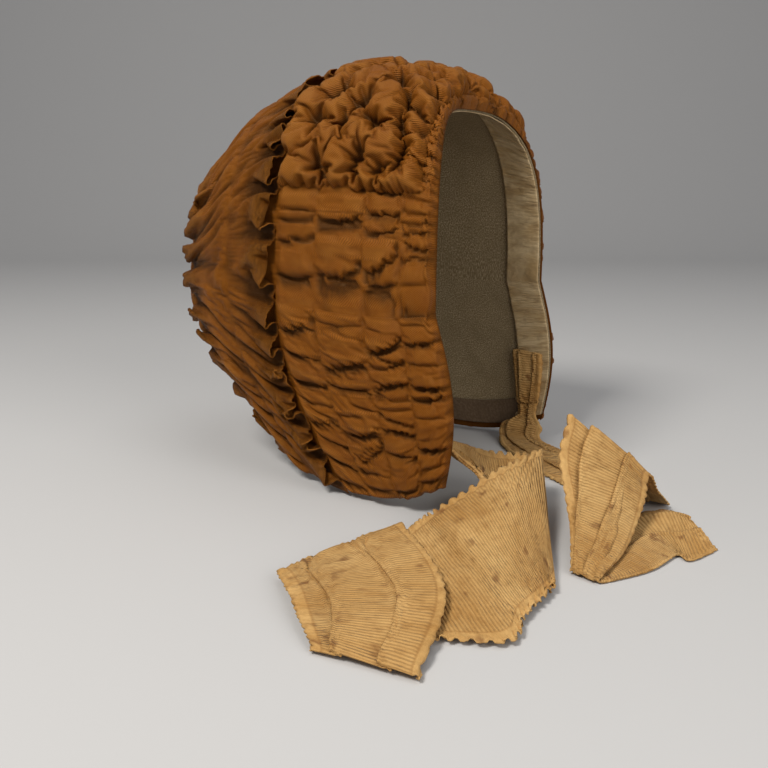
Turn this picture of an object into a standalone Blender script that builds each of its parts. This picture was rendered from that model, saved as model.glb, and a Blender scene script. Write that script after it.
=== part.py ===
"""Quilted silk hood in its worn form, with its two pinked ribbon ties.

Metres, +Z up. The wearer looks along -Y and the wearer's right hand is at -X.
The origin is the head seat, the point inside the crown that rests on the head.
"""
import bisect
import math
from collections import namedtuple

import bmesh
import bpy
from mathutils import Vector

# Driving sizes of the hood
HOOD_WIDTH = 0.204
HOOD_DEPTH = 0.266
HOOD_HEIGHT = 0.286
WADDED_WALL = 0.0050
LINING_WALL = 0.0012
FACING_WALL = 0.0010
RUFFLE_WALL = 0.0012
RIBBON_WALL = 0.0010

# Driving sizes of the gathers
PUFF_RISE = 0.0026
PUFF_DIP = 0.0012
COVERED_SINK = 0.0015
RUFFLE_FRONT_RISE = 0.0062
RUFFLE_BACK_RISE = 0.0044
RUFFLE_RIPPLE = 0.0030
RUFFLE_LEAST_RISE = 0.0020
RUFFLE_SWING = 0.0036
RUFFLE_LOOPS = 11
RUCHING_RISE = 0.0105
RUCHING_EDGE = 0.0012

# Driving sizes of the trims
FACING_WIDTH = 0.028
NECK_FACING_WIDTH = 0.024
RIBBON_WIDTH = 0.090
PLEATED_WIDTH = 0.034
RIBBON_ATTACH_RISE = 0.075

# Clearances between cloth that touches, and behind the facings, whose rows are their own
GAP = 0.0003
FACING_GAP = 0.0006

# Places on the hood, as shares from the front edge to the back seam
STITCH_ROWS = (0.0, 0.17, 0.33, 0.49, 0.66)
SECTION_SEAM = 0.68
SEAM_GAP_SHARE = 2.0 * GAP / HOOD_DEPTH
RUFFLE_STITCH = 0.745
RUFFLE_FRONT_EDGE = 0.625
RUFFLE_BACK_EDGE = 0.875
RUFFLE_CROWN_EASE = 0.030
HEAD_SEAT_SHARE = 0.50
RUCHING_FRONT = 0.050
RUCHING_BACK = 0.610
BACK_COLUMNS = (0.75, 0.82, 0.88, 0.92, 0.95, 0.975, 1.0)
LINING_FRONT = 0.012
FACING_FRONT = 0.015
FACING_SPACE = 0.02
RIBBON_FRONT = 0.03
BACK_SEAM_FADE = 0.97

# Places around the hood, from the crown centre at 0 to the foot at 1
LIMB_SHARE = 0.42
FOLD_PLACES = (0.44, 0.49, 0.535, 0.59, 0.64, 0.69, 0.74, 0.79, 0.84, 0.89, 0.945, 1.0)
CROWN_STEPS = 5
FOLD_SWAY = 0.012
LINING_FOOT = 0.985

# Steps of the grids
COLUMN_STEPS = 3
RUCHING_STEPS = 3
RUFFLE_COLUMNS = 6
RUFFLE_HALF_ROWS = 35
FACING_COLUMNS = 3
NECK_FACING_ROWS = 2
RIBBON_STEPS = 2
RIBBON_COLUMNS = 5

# Depths below the outer surface
LINING_OUTSIDE = WADDED_WALL + GAP
LINING_INSIDE = LINING_OUTSIDE + LINING_WALL
FACING_OUTSIDE = LINING_INSIDE + FACING_GAP
FACING_INSIDE = FACING_OUTSIDE + FACING_WALL
RIBBON_DEPTH = FACING_INSIDE + FACING_GAP + RIBBON_WALL / 2.0

# The hood is a nest of upturned U shapes, one for each row. Backs are shares of
# HOOD_DEPTH, rises are shares of HOOD_HEIGHT, half widths are shares of HOOD_WIDTH.
Station = namedtuple("Station", "share crown_back crown_rise half_width wide_rise side_back "
                                "foot_half_width foot_back foot_rise cheek roundness")
STATIONS = (
    Station(0.00, 0.115, 0.937, 0.492, 0.472, 0.034, 0.472, 0.004, 0.070, 0.040, 2.90),
    Station(0.30, 0.205, 0.990, 0.502, 0.462, 0.200, 0.488, 0.113, 0.028, 0.012, 2.70),
    Station(0.55, 0.372, 1.000, 0.500, 0.472, 0.421, 0.466, 0.248, 0.010, 0.000, 2.60),
    Station(0.75, 0.639, 0.958, 0.475, 0.490, 0.662, 0.412, 0.432, 0.028, 0.000, 2.50),
    Station(0.88, 0.842, 0.786, 0.365, 0.483, 0.850, 0.304, 0.578, 0.087, 0.000, 2.35),
    Station(0.95, 0.940, 0.685, 0.220, 0.420, 0.936, 0.176, 0.662, 0.126, 0.000, 2.20),
    Station(1.00, 0.972, 0.577, 0.000, 0.350, 0.955, 0.000, 0.699, 0.154, 0.000, 2.10),
)

# Puffs of the ruching over the crown: place from front to back and around, both in
# -1 to 1 over the ruched patch, half lengths there, turn in degrees, share of the rise.
Puff = namedtuple("Puff", "back around half_back half_around turn rise")
PUFFS = (
    Puff(-0.62, -0.66, 0.42, 0.22, 35.0, 0.62),
    Puff(-0.05, -0.60, 0.46, 0.20, -38.0, 0.85),
    Puff(0.58, -0.66, 0.44, 0.20, 30.0, 0.70),
    Puff(-0.55, -0.22, 0.46, 0.20, -32.0, 0.90),
    Puff(0.10, -0.18, 0.50, 0.22, 28.0, 1.00),
    Puff(0.66, -0.20, 0.40, 0.20, -30.0, 0.95),
    Puff(-0.58, 0.22, 0.46, 0.20, 30.0, 0.80),
    Puff(0.05, 0.26, 0.46, 0.20, -34.0, 0.85),
    Puff(0.62, 0.24, 0.44, 0.20, 26.0, 0.90),
    Puff(-0.56, 0.66, 0.48, 0.22, -28.0, 1.00),
    Puff(0.12, 0.68, 0.44, 0.20, 32.0, 0.70),
    Puff(0.64, 0.64, 0.42, 0.20, -30.0, 0.65),
)

# A ribbon is ruled between its back edge and its front edge, a row for each bend.
# Lengths are ninths of RIBBON_WIDTH, counted from the table under the inner front
# corner of its own cheek: along X towards the wearer's left, along Y to the back, and
# up. An arch lifts the middle of the row.
Bend = namedtuple("Bend", "back_x back_y back_z front_x front_y front_z arch")
RIGHT_BENDS = (
    Bend(0.4, 2.2, 4.6, 0.5, -0.4, 3.9, 0.0),
    Bend(1.8, 1.4, 4.2, 0.9, -1.9, 2.6, 0.0),
    Bend(3.4, 0.6, 3.6, -1.2, -4.2, 1.1, 0.0),
    Bend(5.0, -0.8, 3.1, -4.2, -6.4, 0.35, -0.6),
    Bend(5.8, -2.6, 3.1, -5.8, -8.4, 0.22, -0.5),
    Bend(6.2, -3.7, 3.1, -6.8, -9.6, 0.20, -0.4),
    Bend(6.1, -3.8, 3.5, -6.9, -9.7, 0.55, -0.2),
    Bend(1.6, -2.3, 3.0, -8.3, -9.9, 0.45, 0.2),
    Bend(-2.9, -0.4, 1.7, -11.1, -9.7, 0.40, 0.3),
    Bend(-4.1, 0.3, 1.0, -13.7, -9.9, 0.35, 0.2),
    Bend(-7.6, 0.8, 0.35, -15.2, -6.7, 0.30, 0.0),
    Bend(-12.1, 1.0, 0.20, -17.0, -5.2, 0.20, 0.0),
    Bend(-18.3, -1.4, 0.15, -17.8, -7.0, 0.15, 0.0),
    Bend(-18.6, -1.5, 0.50, -18.1, -7.2, 0.50, 0.0),
    Bend(-16.6, 1.0, 0.75, -11.6, -5.3, 1.10, 0.1),
    Bend(-13.7, 4.2, 0.55, -5.6, 0.6, 1.40, 0.1),
)
LEFT_BENDS = (
    Bend(-0.35, 3.35, 1.30, -0.30, 0.0, 1.30, 0.0),
    Bend(-1.2, 3.2, 0.40, -0.9, -0.3, 0.40, 0.0),
    Bend(-3.2, 2.0, 0.10, -2.4, -4.0, 0.10, 0.0),
    Bend(-7.4, -2.8, 0.10, -4.6, -9.2, 0.10, 0.0),
    Bend(-9.8, -6.1, 0.15, -9.0, -12.4, 0.15, 0.0),
    Bend(-12.6, -6.5, 3.8, -11.6, -12.2, 1.9, 0.0),
    Bend(-14.7, -6.8, 6.9, -12.7, -12.0, 3.2, 0.2),
    Bend(-15.3, -7.0, 6.9, -13.3, -11.8, 3.25, 0.2),
    Bend(-16.9, -7.1, 5.0, -14.0, -11.9, 2.4, 0.3),
    Bend(-18.4, -8.1, 3.0, -15.8, -11.8, 1.3, 0.2),
    Bend(-20.0, -9.1, 1.5, -19.2, -11.8, 0.65, 0.1),
    Bend(-21.8, -9.8, 0.60, -22.2, -11.6, 0.50, 0.0),
    Bend(-22.0, -9.9, 0.12, -22.4, -11.7, 0.10, 0.0),
    Bend(-17.9, -9.6, 0.10, -19.4, -13.7, 0.10, 0.0),
    Bend(-13.4, -10.4, 0.25, -16.9, -14.6, 0.15, 0.0),
    Bend(-11.4, -12.6, 0.70, -17.2, -15.5, 0.12, 0.0),
    Bend(-12.6, -14.4, 0.75, -14.6, -16.4, 0.12, 0.0),
)

# Rows sewn or hanging inside each cheek, as shares of the way down to the table
ATTACH_DROPS = {-1.0: (0.0, 0.15, 0.30), 1.0: (0.0, 0.25, 0.50, 0.72)}

# Finishes: colour, roughness
RUST_SILK = ((0.28, 0.095, 0.018), 0.60)
DEEP_SILK = ((0.24, 0.080, 0.015), 0.62)
WOOL_LINING = ((0.13, 0.12, 0.085), 0.90)
CREAM_SATIN = ((0.52, 0.38, 0.21), 0.42)
TAUPE_SILK = ((0.11, 0.070, 0.038), 0.65)
RIBBON_CREAM = ((0.61, 0.41, 0.19), 0.70)

PARTS = None


def clear_scene():
    """Remove what the file holds at the start."""
    for item in list(bpy.data.objects):
        bpy.data.objects.remove(item)


def blend_rows(rows, place):
    """Smooth values between the rows of a table, whose first column is the place."""
    places = [row[0] for row in rows]
    upper = min(max(bisect.bisect_right(places, place), 1), len(rows) - 1)
    start, end = rows[upper - 1], rows[upper]
    before, after = rows[max(upper - 2, 0)], rows[min(upper + 1, len(rows) - 1)]
    width = end[0] - start[0]
    part = (place - start[0]) / width
    values = []
    for column in range(1, len(start)):
        start_slope = (end[column] - before[column]) / (end[0] - before[0]) * width
        end_slope = (after[column] - start[column]) / (after[0] - start[0]) * width
        values.append((2 * part ** 3 - 3 * part ** 2 + 1) * start[column]
                      + (part ** 3 - 2 * part ** 2 + part) * start_slope
                      + (3 * part ** 2 - 2 * part ** 3) * end[column]
                      + (part ** 3 - part ** 2) * end_slope)
    return values


def fade(value, low, high):
    """A smooth rise from 0 at low to 1 at high."""
    part = min(max((value - low) / (high - low), 0.0), 1.0)
    return part * part * (3.0 - 2.0 * part)


def outline_point(back, around):
    """A point of the smooth outer surface, measured up from the table."""
    station = Station(back, *blend_rows(STATIONS, back))
    foot = abs(around)
    half_width = max(station.half_width, 0.0) * HOOD_WIDTH
    foot_half_width = max(station.foot_half_width, 0.0) * HOOD_WIDTH
    side_back = station.side_back * HOOD_DEPTH
    wide_rise = station.wide_rise * HOOD_HEIGHT
    if foot > 1.0 - LIMB_SHARE:
        climb = (1.0 - foot) / LIMB_SHARE
        swell = math.sin(climb * math.pi / 2.0)
        foot_back = station.foot_back * HOOD_DEPTH
        foot_rise = station.foot_rise * HOOD_HEIGHT
        cheek = station.cheek * HOOD_DEPTH * math.sin(climb * math.pi)
        x = foot_half_width + (half_width - foot_half_width) * swell
        y = foot_back + (side_back - foot_back) * swell - cheek
        z = foot_rise + (wide_rise - foot_rise) * climb
    else:
        turn = (1.0 - LIMB_SHARE - foot) / (1.0 - LIMB_SHARE) * math.pi / 2.0
        power = 2.0 / station.roundness
        crown_back = station.crown_back * HOOD_DEPTH
        crown_rise = station.crown_rise * HOOD_HEIGHT
        x = half_width * max(math.cos(turn), 0.0) ** power
        y = side_back + (crown_back - side_back) * (1.0 - math.cos(turn))
        z = wide_rise + (crown_rise - wide_rise) * math.sin(turn) ** power
    return Vector((math.copysign(x, around), y, z))


def outline_directions(back, around):
    """Unit vectors at a place: to the back along the cloth, and straight out of it."""
    step = 0.008
    back = min(back, 1.0 - 2.0 * step)
    nearer = max(back - step, 0.0)
    backward = outline_point(back + step, around) - outline_point(nearer, around)
    low, high = max(around - step, -1.0), min(around + step, 1.0)
    sideways = outline_point(back, high) - outline_point(back, low)
    outward = backward.cross(sideways).normalized()
    return backward.normalized(), -outward


def surface_point(back, around, lift, swing=0.0):
    """A point of the hood, lifted off the smooth surface and swung to the back."""
    backward, outward = outline_directions(back, around)
    outward.x *= 1.0 - fade(back, BACK_SEAM_FADE, 1.0)
    outward.normalize()
    point = outline_point(back, around) + outward * lift + backward * swing
    if back >= 1.0:
        point.x = 0.0
    return point


HEAD_SEAT = surface_point(HEAD_SEAT_SHARE, 0.0, -LINING_INSIDE)


def placed(point):
    """Move a point from the table's frame to the head seat's."""
    return point - HEAD_SEAT


def share_at_width(width, around, start=0.0):
    """The share from the front at which the cloth has run a width from its start."""
    step = 0.01
    share, run = start, 0.0
    point = outline_point(share, around)
    while run < width and share < 1.0:
        following = outline_point(share + step, around)
        run += (following - point).length
        point = following
        share += step
    return share


def foot_share_at_rise(back, rise):
    """The place around, on the lower limb, whose height over the table is a rise."""
    station = Station(back, *blend_rows(STATIONS, back))
    low = station.foot_rise * HOOD_HEIGHT
    high = station.wide_rise * HOOD_HEIGHT
    return 1.0 - LIMB_SHARE * (rise - low) / (high - low)


def make_material(name, finish):
    """A plain material of one finish."""
    colour, roughness = finish
    material = bpy.data.materials.new(name)
    material.use_nodes = True
    shader = material.node_tree.nodes["Principled BSDF"]
    shader.inputs["Base Color"].default_value = (*colour, 1.0)
    shader.inputs["Roughness"].default_value = roughness
    shader.inputs["Metallic"].default_value = 0.0
    material.diffuse_color = (*colour, 1.0)
    return material


def finish_object(name, mesh_builder, finish):
    """Turn a finished bmesh into a named, smooth shaded object of the collection."""
    mesh = bpy.data.meshes.new(name)
    mesh_builder.to_mesh(mesh)
    mesh_builder.free()
    mesh.shade_smooth()
    mesh.materials.append(make_material(name + "_finish", finish))
    item = bpy.data.objects.new(name, mesh)
    PARTS.objects.link(item)
    return item


def padded_shell(name, columns, rows, place, outer, inner, finish):
    """A closed wall between an outer and an inner surface.

    place turns grid steps into shares back and around, and outer and inner turn
    those shares into points.
    """
    builder = bmesh.new()
    bmesh.ops.create_grid(builder, x_segments=columns, y_segments=rows, size=1.0)
    back_layer = builder.verts.layers.float.new("back")
    around_layer = builder.verts.layers.float.new("around")
    for vert in builder.verts:
        column = round((vert.co.x + 1.0) / 2.0 * columns)
        row = round((vert.co.y + 1.0) / 2.0 * rows)
        back, around = place(column, row)
        vert[back_layer] = back
        vert[around_layer] = around
        vert.co = placed(outer(back, around))
    bmesh.ops.remove_doubles(builder, verts=builder.verts, dist=1e-6)
    outside = set(builder.verts)
    bmesh.ops.extrude_face_region(builder, geom=list(builder.faces))
    for vert in builder.verts:
        if vert not in outside:
            vert.co = placed(inner(vert[back_layer], vert[around_layer]))
    bmesh.ops.recalc_face_normals(builder, faces=builder.faces)
    return finish_object(name, builder, finish)


def cloth_strip(name, columns, rows, point_at, wall, finish):
    """A thin cloth strip: an open grid with half its wall added on each side."""
    builder = bmesh.new()
    bmesh.ops.create_grid(builder, x_segments=columns, y_segments=rows, size=1.0)
    for vert in builder.verts:
        column = (vert.co.x + 1.0) / 2.0 * columns
        row = (vert.co.y + 1.0) / 2.0 * rows
        vert.co = placed(point_at(round(column), round(row)))
    bmesh.ops.recalc_face_normals(builder, faces=builder.faces)
    item = finish_object(name, builder, finish)
    solid = item.modifiers.new("wall", "SOLIDIFY")
    solid.thickness = wall
    solid.offset = 0.0
    return item


def around_rows(puffs=False, foot=1.0):
    """Places around for a grid: even over the crown, then the folds down to the foot.

    With puffs there is one more row in the middle of each puff.
    """
    half = [FOLD_PLACES[0] * step / CROWN_STEPS for step in range(CROWN_STEPS + 1)]
    for upper, lower in zip(FOLD_PLACES, FOLD_PLACES[1:]):
        half += [(upper + lower) / 2.0] * puffs + [min(lower, foot)]
    return [-place for place in reversed(half[1:])] + half


def stitch_columns(steps):
    """Places from front to back for the grid, in steps between the stitch rows."""
    columns = [STITCH_ROWS[0]]
    for front, back in zip(STITCH_ROWS, STITCH_ROWS[1:]):
        columns += [front + (back - front) * step / steps for step in range(1, steps + 1)]
    return columns + [SECTION_SEAM]


def arch_between(places, place):
    """0 at each of the places and 1 halfway between two of them."""
    index = min(max(bisect.bisect_right(places, place), 1), len(places) - 1)
    part = (place - places[index - 1]) / (places[index] - places[index - 1])
    return math.sin(min(max(part, 0.0), 1.0) * math.pi)


def ruffle_front_share(around):
    """Where the ruffle's front edge lies: a little further back over the crown."""
    return RUFFLE_FRONT_EDGE + RUFFLE_CROWN_EASE * (1.0 - fade(abs(around), 0.10, FOLD_PLACES[0]))


def front_lift(back, around):
    """The relief of the front section: puffs between the stitch rows and the folds."""
    foot = abs(around)
    sway = FOLD_SWAY * math.sin(2.0 * math.pi * back / (STITCH_ROWS[2] - STITCH_ROWS[1]))
    across = math.sqrt(arch_between(STITCH_ROWS, back))
    along = math.sqrt(arch_between(FOLD_PLACES, min(foot + sway * (1.0 - foot), 1.0)))
    puffed = PUFF_RISE * across * along - PUFF_DIP
    cover = fade(back, ruffle_front_share(around) - 0.05, ruffle_front_share(around) - 0.01)
    cover = max(cover, 1.0 - fade(foot, FOLD_PLACES[0], FOLD_PLACES[0] + 0.02))
    return puffed * (1.0 - cover) - COVERED_SINK * cover


def build_front_section():
    """The wadded front of the hood, from the face edge to the seam under the ruffle."""
    columns, rows = stitch_columns(COLUMN_STEPS), around_rows(puffs=True)
    return padded_shell(
        "front_section", len(columns) - 1, len(rows) - 1,
        lambda column, row: (columns[column], rows[row]),
        lambda back, around: surface_point(back, around, front_lift(back, around)),
        lambda back, around: surface_point(back, around, -WADDED_WALL),
        RUST_SILK)


def back_lift(back, around):
    """The relief of the back section: sunk under the ruffle, gently puffed behind it."""
    bare = fade(back, RUFFLE_BACK_EDGE, RUFFLE_BACK_EDGE + 0.05)
    ripple = 0.5 + 0.5 * math.cos(around * 2.0 * math.pi * RUFFLE_LOOPS / 2.0)
    plain = fade(back, BACK_SEAM_FADE, 1.0)
    return -COVERED_SINK + bare * (COVERED_SINK + PUFF_DIP * ripple * (1.0 - plain))


def build_back_section():
    """The back of the hood, closed on itself along the centre back seam."""
    columns, rows = [SECTION_SEAM + SEAM_GAP_SHARE, *BACK_COLUMNS], around_rows()
    return padded_shell(
        "back_section", len(columns) - 1, len(rows) - 1,
        lambda column, row: (columns[column], rows[row]),
        lambda back, around: surface_point(back, around, back_lift(back, around)),
        lambda back, around: surface_point(back, around, -WADDED_WALL),
        DEEP_SILK)


def ruffle_point(across, around, lift):
    """A point of the ruffle band: stitched down its middle, free along both edges."""
    front, back_edge = ruffle_front_share(around), RUFFLE_BACK_EDGE
    side = (RUFFLE_STITCH - front) if across < 0.0 else (back_edge - RUFFLE_STITCH)
    back = RUFFLE_STITCH + across * side
    free = abs(across)
    loops = 2.0 * math.pi * RUFFLE_LOOPS * around * (1.0 if across < 0.0 else 0.92)
    ripple = math.sin(loops) + 0.35 * math.sin(2.3 * loops + 1.0)
    full_rise = RUFFLE_FRONT_RISE if across < 0.0 else RUFFLE_BACK_RISE
    rise = full_rise * free ** 0.7 + RUFFLE_RIPPLE * free ** 1.6 * ripple
    swing = RUFFLE_SWING * free ** 1.5 * math.cos(loops + 0.6)
    rise = max(rise, RUFFLE_LEAST_RISE * min(2.0 * free, 1.0))
    return surface_point(back, around, rise + lift - COVERED_SINK + GAP, swing)


def build_ruffle_band():
    """The ruched band that hides the seam, with its two free rippled edges."""
    columns, half = RUFFLE_COLUMNS, RUFFLE_HALF_ROWS
    return padded_shell(
        "ruffle_band", columns, 2 * half,
        lambda column, row: (2.0 * column / columns - 1.0, row / half - 1.0),
        lambda across, around: ruffle_point(across, around, RUFFLE_WALL),
        lambda across, around: ruffle_point(across, around, 0.0),
        RUST_SILK)


def ruching_lift(across, around):
    """Height of the crown's puffs over the patch, with places in -1 to 1 both ways."""
    height = 0.0
    for puff in PUFFS:
        turn = math.radians(puff.turn)
        away_back, away_around = across - puff.back, around - puff.around
        long_way = (away_back * math.cos(turn) + away_around * math.sin(turn)) / puff.half_back
        short_way = (away_around * math.cos(turn) - away_back * math.sin(turn)) / puff.half_around
        reach = long_way ** 2 + short_way ** 2
        height = max(height, puff.rise * max(1.0 - reach, 0.0) ** 0.5)
    rim = fade(1.0 - abs(across), 0.0, 0.22) * fade(1.0 - abs(around), 0.0, 0.14)
    return RUCHING_EDGE + (RUCHING_RISE - RUCHING_EDGE) * rim * (0.30 + 0.70 * height)


def build_top_ruching():
    """The criss-cross puffs over the crown, wadded and sewn on the front section."""
    columns = [share for share in stitch_columns(COLUMN_STEPS)
               if RUCHING_FRONT <= share <= RUCHING_BACK]
    half = RUCHING_STEPS * CROWN_STEPS
    middle, reach = (columns[0] + columns[-1]) / 2.0, (columns[-1] - columns[0]) / 2.0

    def top(back, around):
        lift = ruching_lift((back - middle) / reach, around / FOLD_PLACES[0])
        return surface_point(back, around, lift + GAP - COVERED_SINK)

    return padded_shell(
        "top_ruching", len(columns) - 1, 2 * half,
        lambda column, row: (columns[column], FOLD_PLACES[0] * (row / half - 1.0)),
        top,
        lambda back, around: surface_point(back, around, GAP - COVERED_SINK),
        RUST_SILK)


def lining_columns():
    """Places from front to back for the lining's grid, closer behind the facing."""
    close = stitch_columns(COLUMN_STEPS)[1:COLUMN_STEPS + 1]
    halfway = (STITCH_ROWS[1] + STITCH_ROWS[2]) / 2.0
    return [LINING_FRONT, *close, halfway, *STITCH_ROWS[2:], *BACK_COLUMNS]


def build_lining():
    """The wool lining, one skin from the face edge to the centre back seam."""
    columns, rows = lining_columns(), around_rows(foot=LINING_FOOT)
    return padded_shell(
        "lining", len(columns) - 1, len(rows) - 1,
        lambda column, row: (columns[column], rows[row]),
        lambda back, around: surface_point(back, around, -LINING_OUTSIDE),
        lambda back, around: surface_point(back, around, -LINING_INSIDE),
        WOOL_LINING)


def build_front_facing():
    """The cream satin facing inside the face edge."""
    columns, rows = FACING_COLUMNS, around_rows(foot=LINING_FOOT)

    def place(column, row):
        last = share_at_width(FACING_WIDTH, rows[row], FACING_FRONT)
        return FACING_FRONT + (last - FACING_FRONT) * column / columns, rows[row]

    return padded_shell(
        "front_facing", columns, len(rows) - 1, place,
        lambda back, around: surface_point(back, around, -FACING_OUTSIDE),
        lambda back, around: surface_point(back, around, -FACING_INSIDE),
        CREAM_SATIN)


def build_neck_facing():
    """The taupe silk band inside the neck edge, from cheek to cheek round the nape."""
    first = share_at_width(FACING_WIDTH, LINING_FOOT, FACING_FRONT) + FACING_SPACE
    half = [first, *[share for share in lining_columns() if share > first + FACING_SPACE]]
    columns = [(share, -1.0) for share in half] + [(share, 1.0) for share in reversed(half[:-1])]
    rows = NECK_FACING_ROWS

    def place(column, row):
        back, side = columns[column]
        upper = foot_share_at_rise(back, outline_point(back, 1.0).z + NECK_FACING_WIDTH)
        return back, side * (LINING_FOOT + (upper - LINING_FOOT) * row / rows)

    return padded_shell(
        "neck_facing", len(columns) - 1, rows, place,
        lambda back, around: surface_point(back, around, -FACING_OUTSIDE),
        lambda back, around: surface_point(back, around, -FACING_INSIDE),
        TAUPE_SILK)


def attach_rows(side):
    """The first rows of a ribbon, pleated narrow and sewn inside the cheek."""
    rows = []
    for drop in ATTACH_DROPS[side]:
        rise = RIBBON_ATTACH_RISE * (1.0 - drop)
        around = side * foot_share_at_rise(RIBBON_FRONT, rise)
        back = share_at_width(PLEATED_WIDTH, around, RIBBON_FRONT)
        edges = [surface_point(share, side * foot_share_at_rise(share, rise), -RIBBON_DEPTH)
                 for share in (back, RIBBON_FRONT)]
        rows.append((*edges[0], *edges[1], 0.0))
    return rows


def ribbon_rows(side, bends):
    """All rows of a ribbon in metres over the table, counted by their number."""
    ninth = RIBBON_WIDTH / 9.0
    foot = surface_point(0.0, side, -FACING_INSIDE)
    rows = attach_rows(side)
    for bend in bends:
        back_edge = (foot.x + bend.back_x * ninth, bend.back_y * ninth, bend.back_z * ninth)
        front_edge = (foot.x + bend.front_x * ninth, bend.front_y * ninth, bend.front_z * ninth)
        rows.append((*back_edge, *front_edge, bend.arch * ninth))
    return [(number, *row) for number, row in enumerate(rows)]


def build_ribbon(name, side, bends):
    """One tie: a ribbon ruled between the two edges of its rows."""
    rows = ribbon_rows(side, bends)
    columns = (len(rows) - 1) * RIBBON_STEPS

    def point_at(column, row):
        values = blend_rows(rows, column / RIBBON_STEPS)
        part = row / RIBBON_COLUMNS
        back_edge, front_edge = Vector(values[0:3]), Vector(values[3:6])
        point = back_edge.lerp(front_edge, part)
        point.z = max(point.z + values[6] * math.sin(part * math.pi), RIBBON_WALL / 2.0)
        return point

    return cloth_strip(name, columns, RIBBON_COLUMNS, point_at, RIBBON_WALL, RIBBON_CREAM)


def main():
    """Build every piece of the hood."""
    global PARTS
    clear_scene()
    PARTS = bpy.data.collections.new("quilted_hood")
    bpy.context.scene.collection.children.link(PARTS)
    build_front_section()
    build_back_section()
    build_ruffle_band()
    build_top_ruching()
    build_lining()
    build_front_facing()
    build_neck_facing()
    build_ribbon("right_tie", -1.0, RIGHT_BENDS)
    build_ribbon("left_tie", 1.0, LEFT_BENDS)


main()
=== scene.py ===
"""Quilted silk hood in its worn form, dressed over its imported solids.

Metres, +Z up. The wearer looks along -Y and the wearer's right hand is at -X.
Silk pieces are worked out in shares: "back" runs from the face edge to the centre
back seam, "around" from the wearer's right foot (-1) over the crown (0) to the left.
"""

import logging
import math
from dataclasses import dataclass, field
from enum import Enum
from typing import NamedTuple, Sequence

import bmesh
import bpy
import numpy as np
from mathutils import Matrix, Vector

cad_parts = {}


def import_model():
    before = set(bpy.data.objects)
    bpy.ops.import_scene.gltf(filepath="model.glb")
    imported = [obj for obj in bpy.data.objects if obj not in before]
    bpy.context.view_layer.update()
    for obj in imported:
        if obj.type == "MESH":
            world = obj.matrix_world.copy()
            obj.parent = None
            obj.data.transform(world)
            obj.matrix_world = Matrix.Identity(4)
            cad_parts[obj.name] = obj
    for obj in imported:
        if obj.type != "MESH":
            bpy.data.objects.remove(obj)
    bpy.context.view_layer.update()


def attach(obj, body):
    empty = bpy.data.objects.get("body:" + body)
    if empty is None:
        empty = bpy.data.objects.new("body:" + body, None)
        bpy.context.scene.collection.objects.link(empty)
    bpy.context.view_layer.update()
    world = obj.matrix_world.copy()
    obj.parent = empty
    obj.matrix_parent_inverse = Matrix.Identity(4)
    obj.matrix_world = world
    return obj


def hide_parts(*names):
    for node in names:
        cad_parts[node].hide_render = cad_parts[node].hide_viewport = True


LOG = logging.getLogger("quilted_hood")
Array = np.ndarray
Socket = bpy.types.NodeSocket
Colour = tuple[float, float, float]


class Side(Enum):
    """The two sides of the hood, as signs along X."""

    RIGHT = -1.0
    LEFT = 1.0


class Station(NamedTuple):
    """One upturned U of the hood's outline, in shares of its depth, height and width."""

    share: float
    crown_back: float
    crown_rise: float
    half_width: float
    wide_rise: float
    side_back: float
    foot_half_width: float
    foot_back: float
    foot_rise: float
    cheek: float
    roundness: float


STATIONS = (
    Station(0.00, 0.115, 0.937, 0.492, 0.472, 0.034, 0.472, 0.004, 0.070, 0.040, 2.90),
    Station(0.30, 0.205, 0.990, 0.502, 0.462, 0.200, 0.488, 0.113, 0.028, 0.012, 2.70),
    Station(0.55, 0.372, 1.000, 0.500, 0.472, 0.421, 0.466, 0.248, 0.010, 0.000, 2.60),
    Station(0.75, 0.639, 0.958, 0.475, 0.490, 0.662, 0.412, 0.432, 0.028, 0.000, 2.50),
    Station(0.88, 0.842, 0.786, 0.365, 0.483, 0.850, 0.304, 0.578, 0.087, 0.000, 2.35),
    Station(0.95, 0.940, 0.685, 0.220, 0.420, 0.936, 0.176, 0.662, 0.126, 0.000, 2.20),
    Station(1.00, 0.972, 0.577, 0.000, 0.350, 0.955, 0.000, 0.699, 0.154, 0.000, 2.10),
)


class Crease(NamedTuple):
    """A fold across one panel, from its front stitch row to its back one."""

    panel: int
    front: float
    back: float
    bow: float
    depth: float
    begin: float = 0.0
    end: float = 1.0


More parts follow.
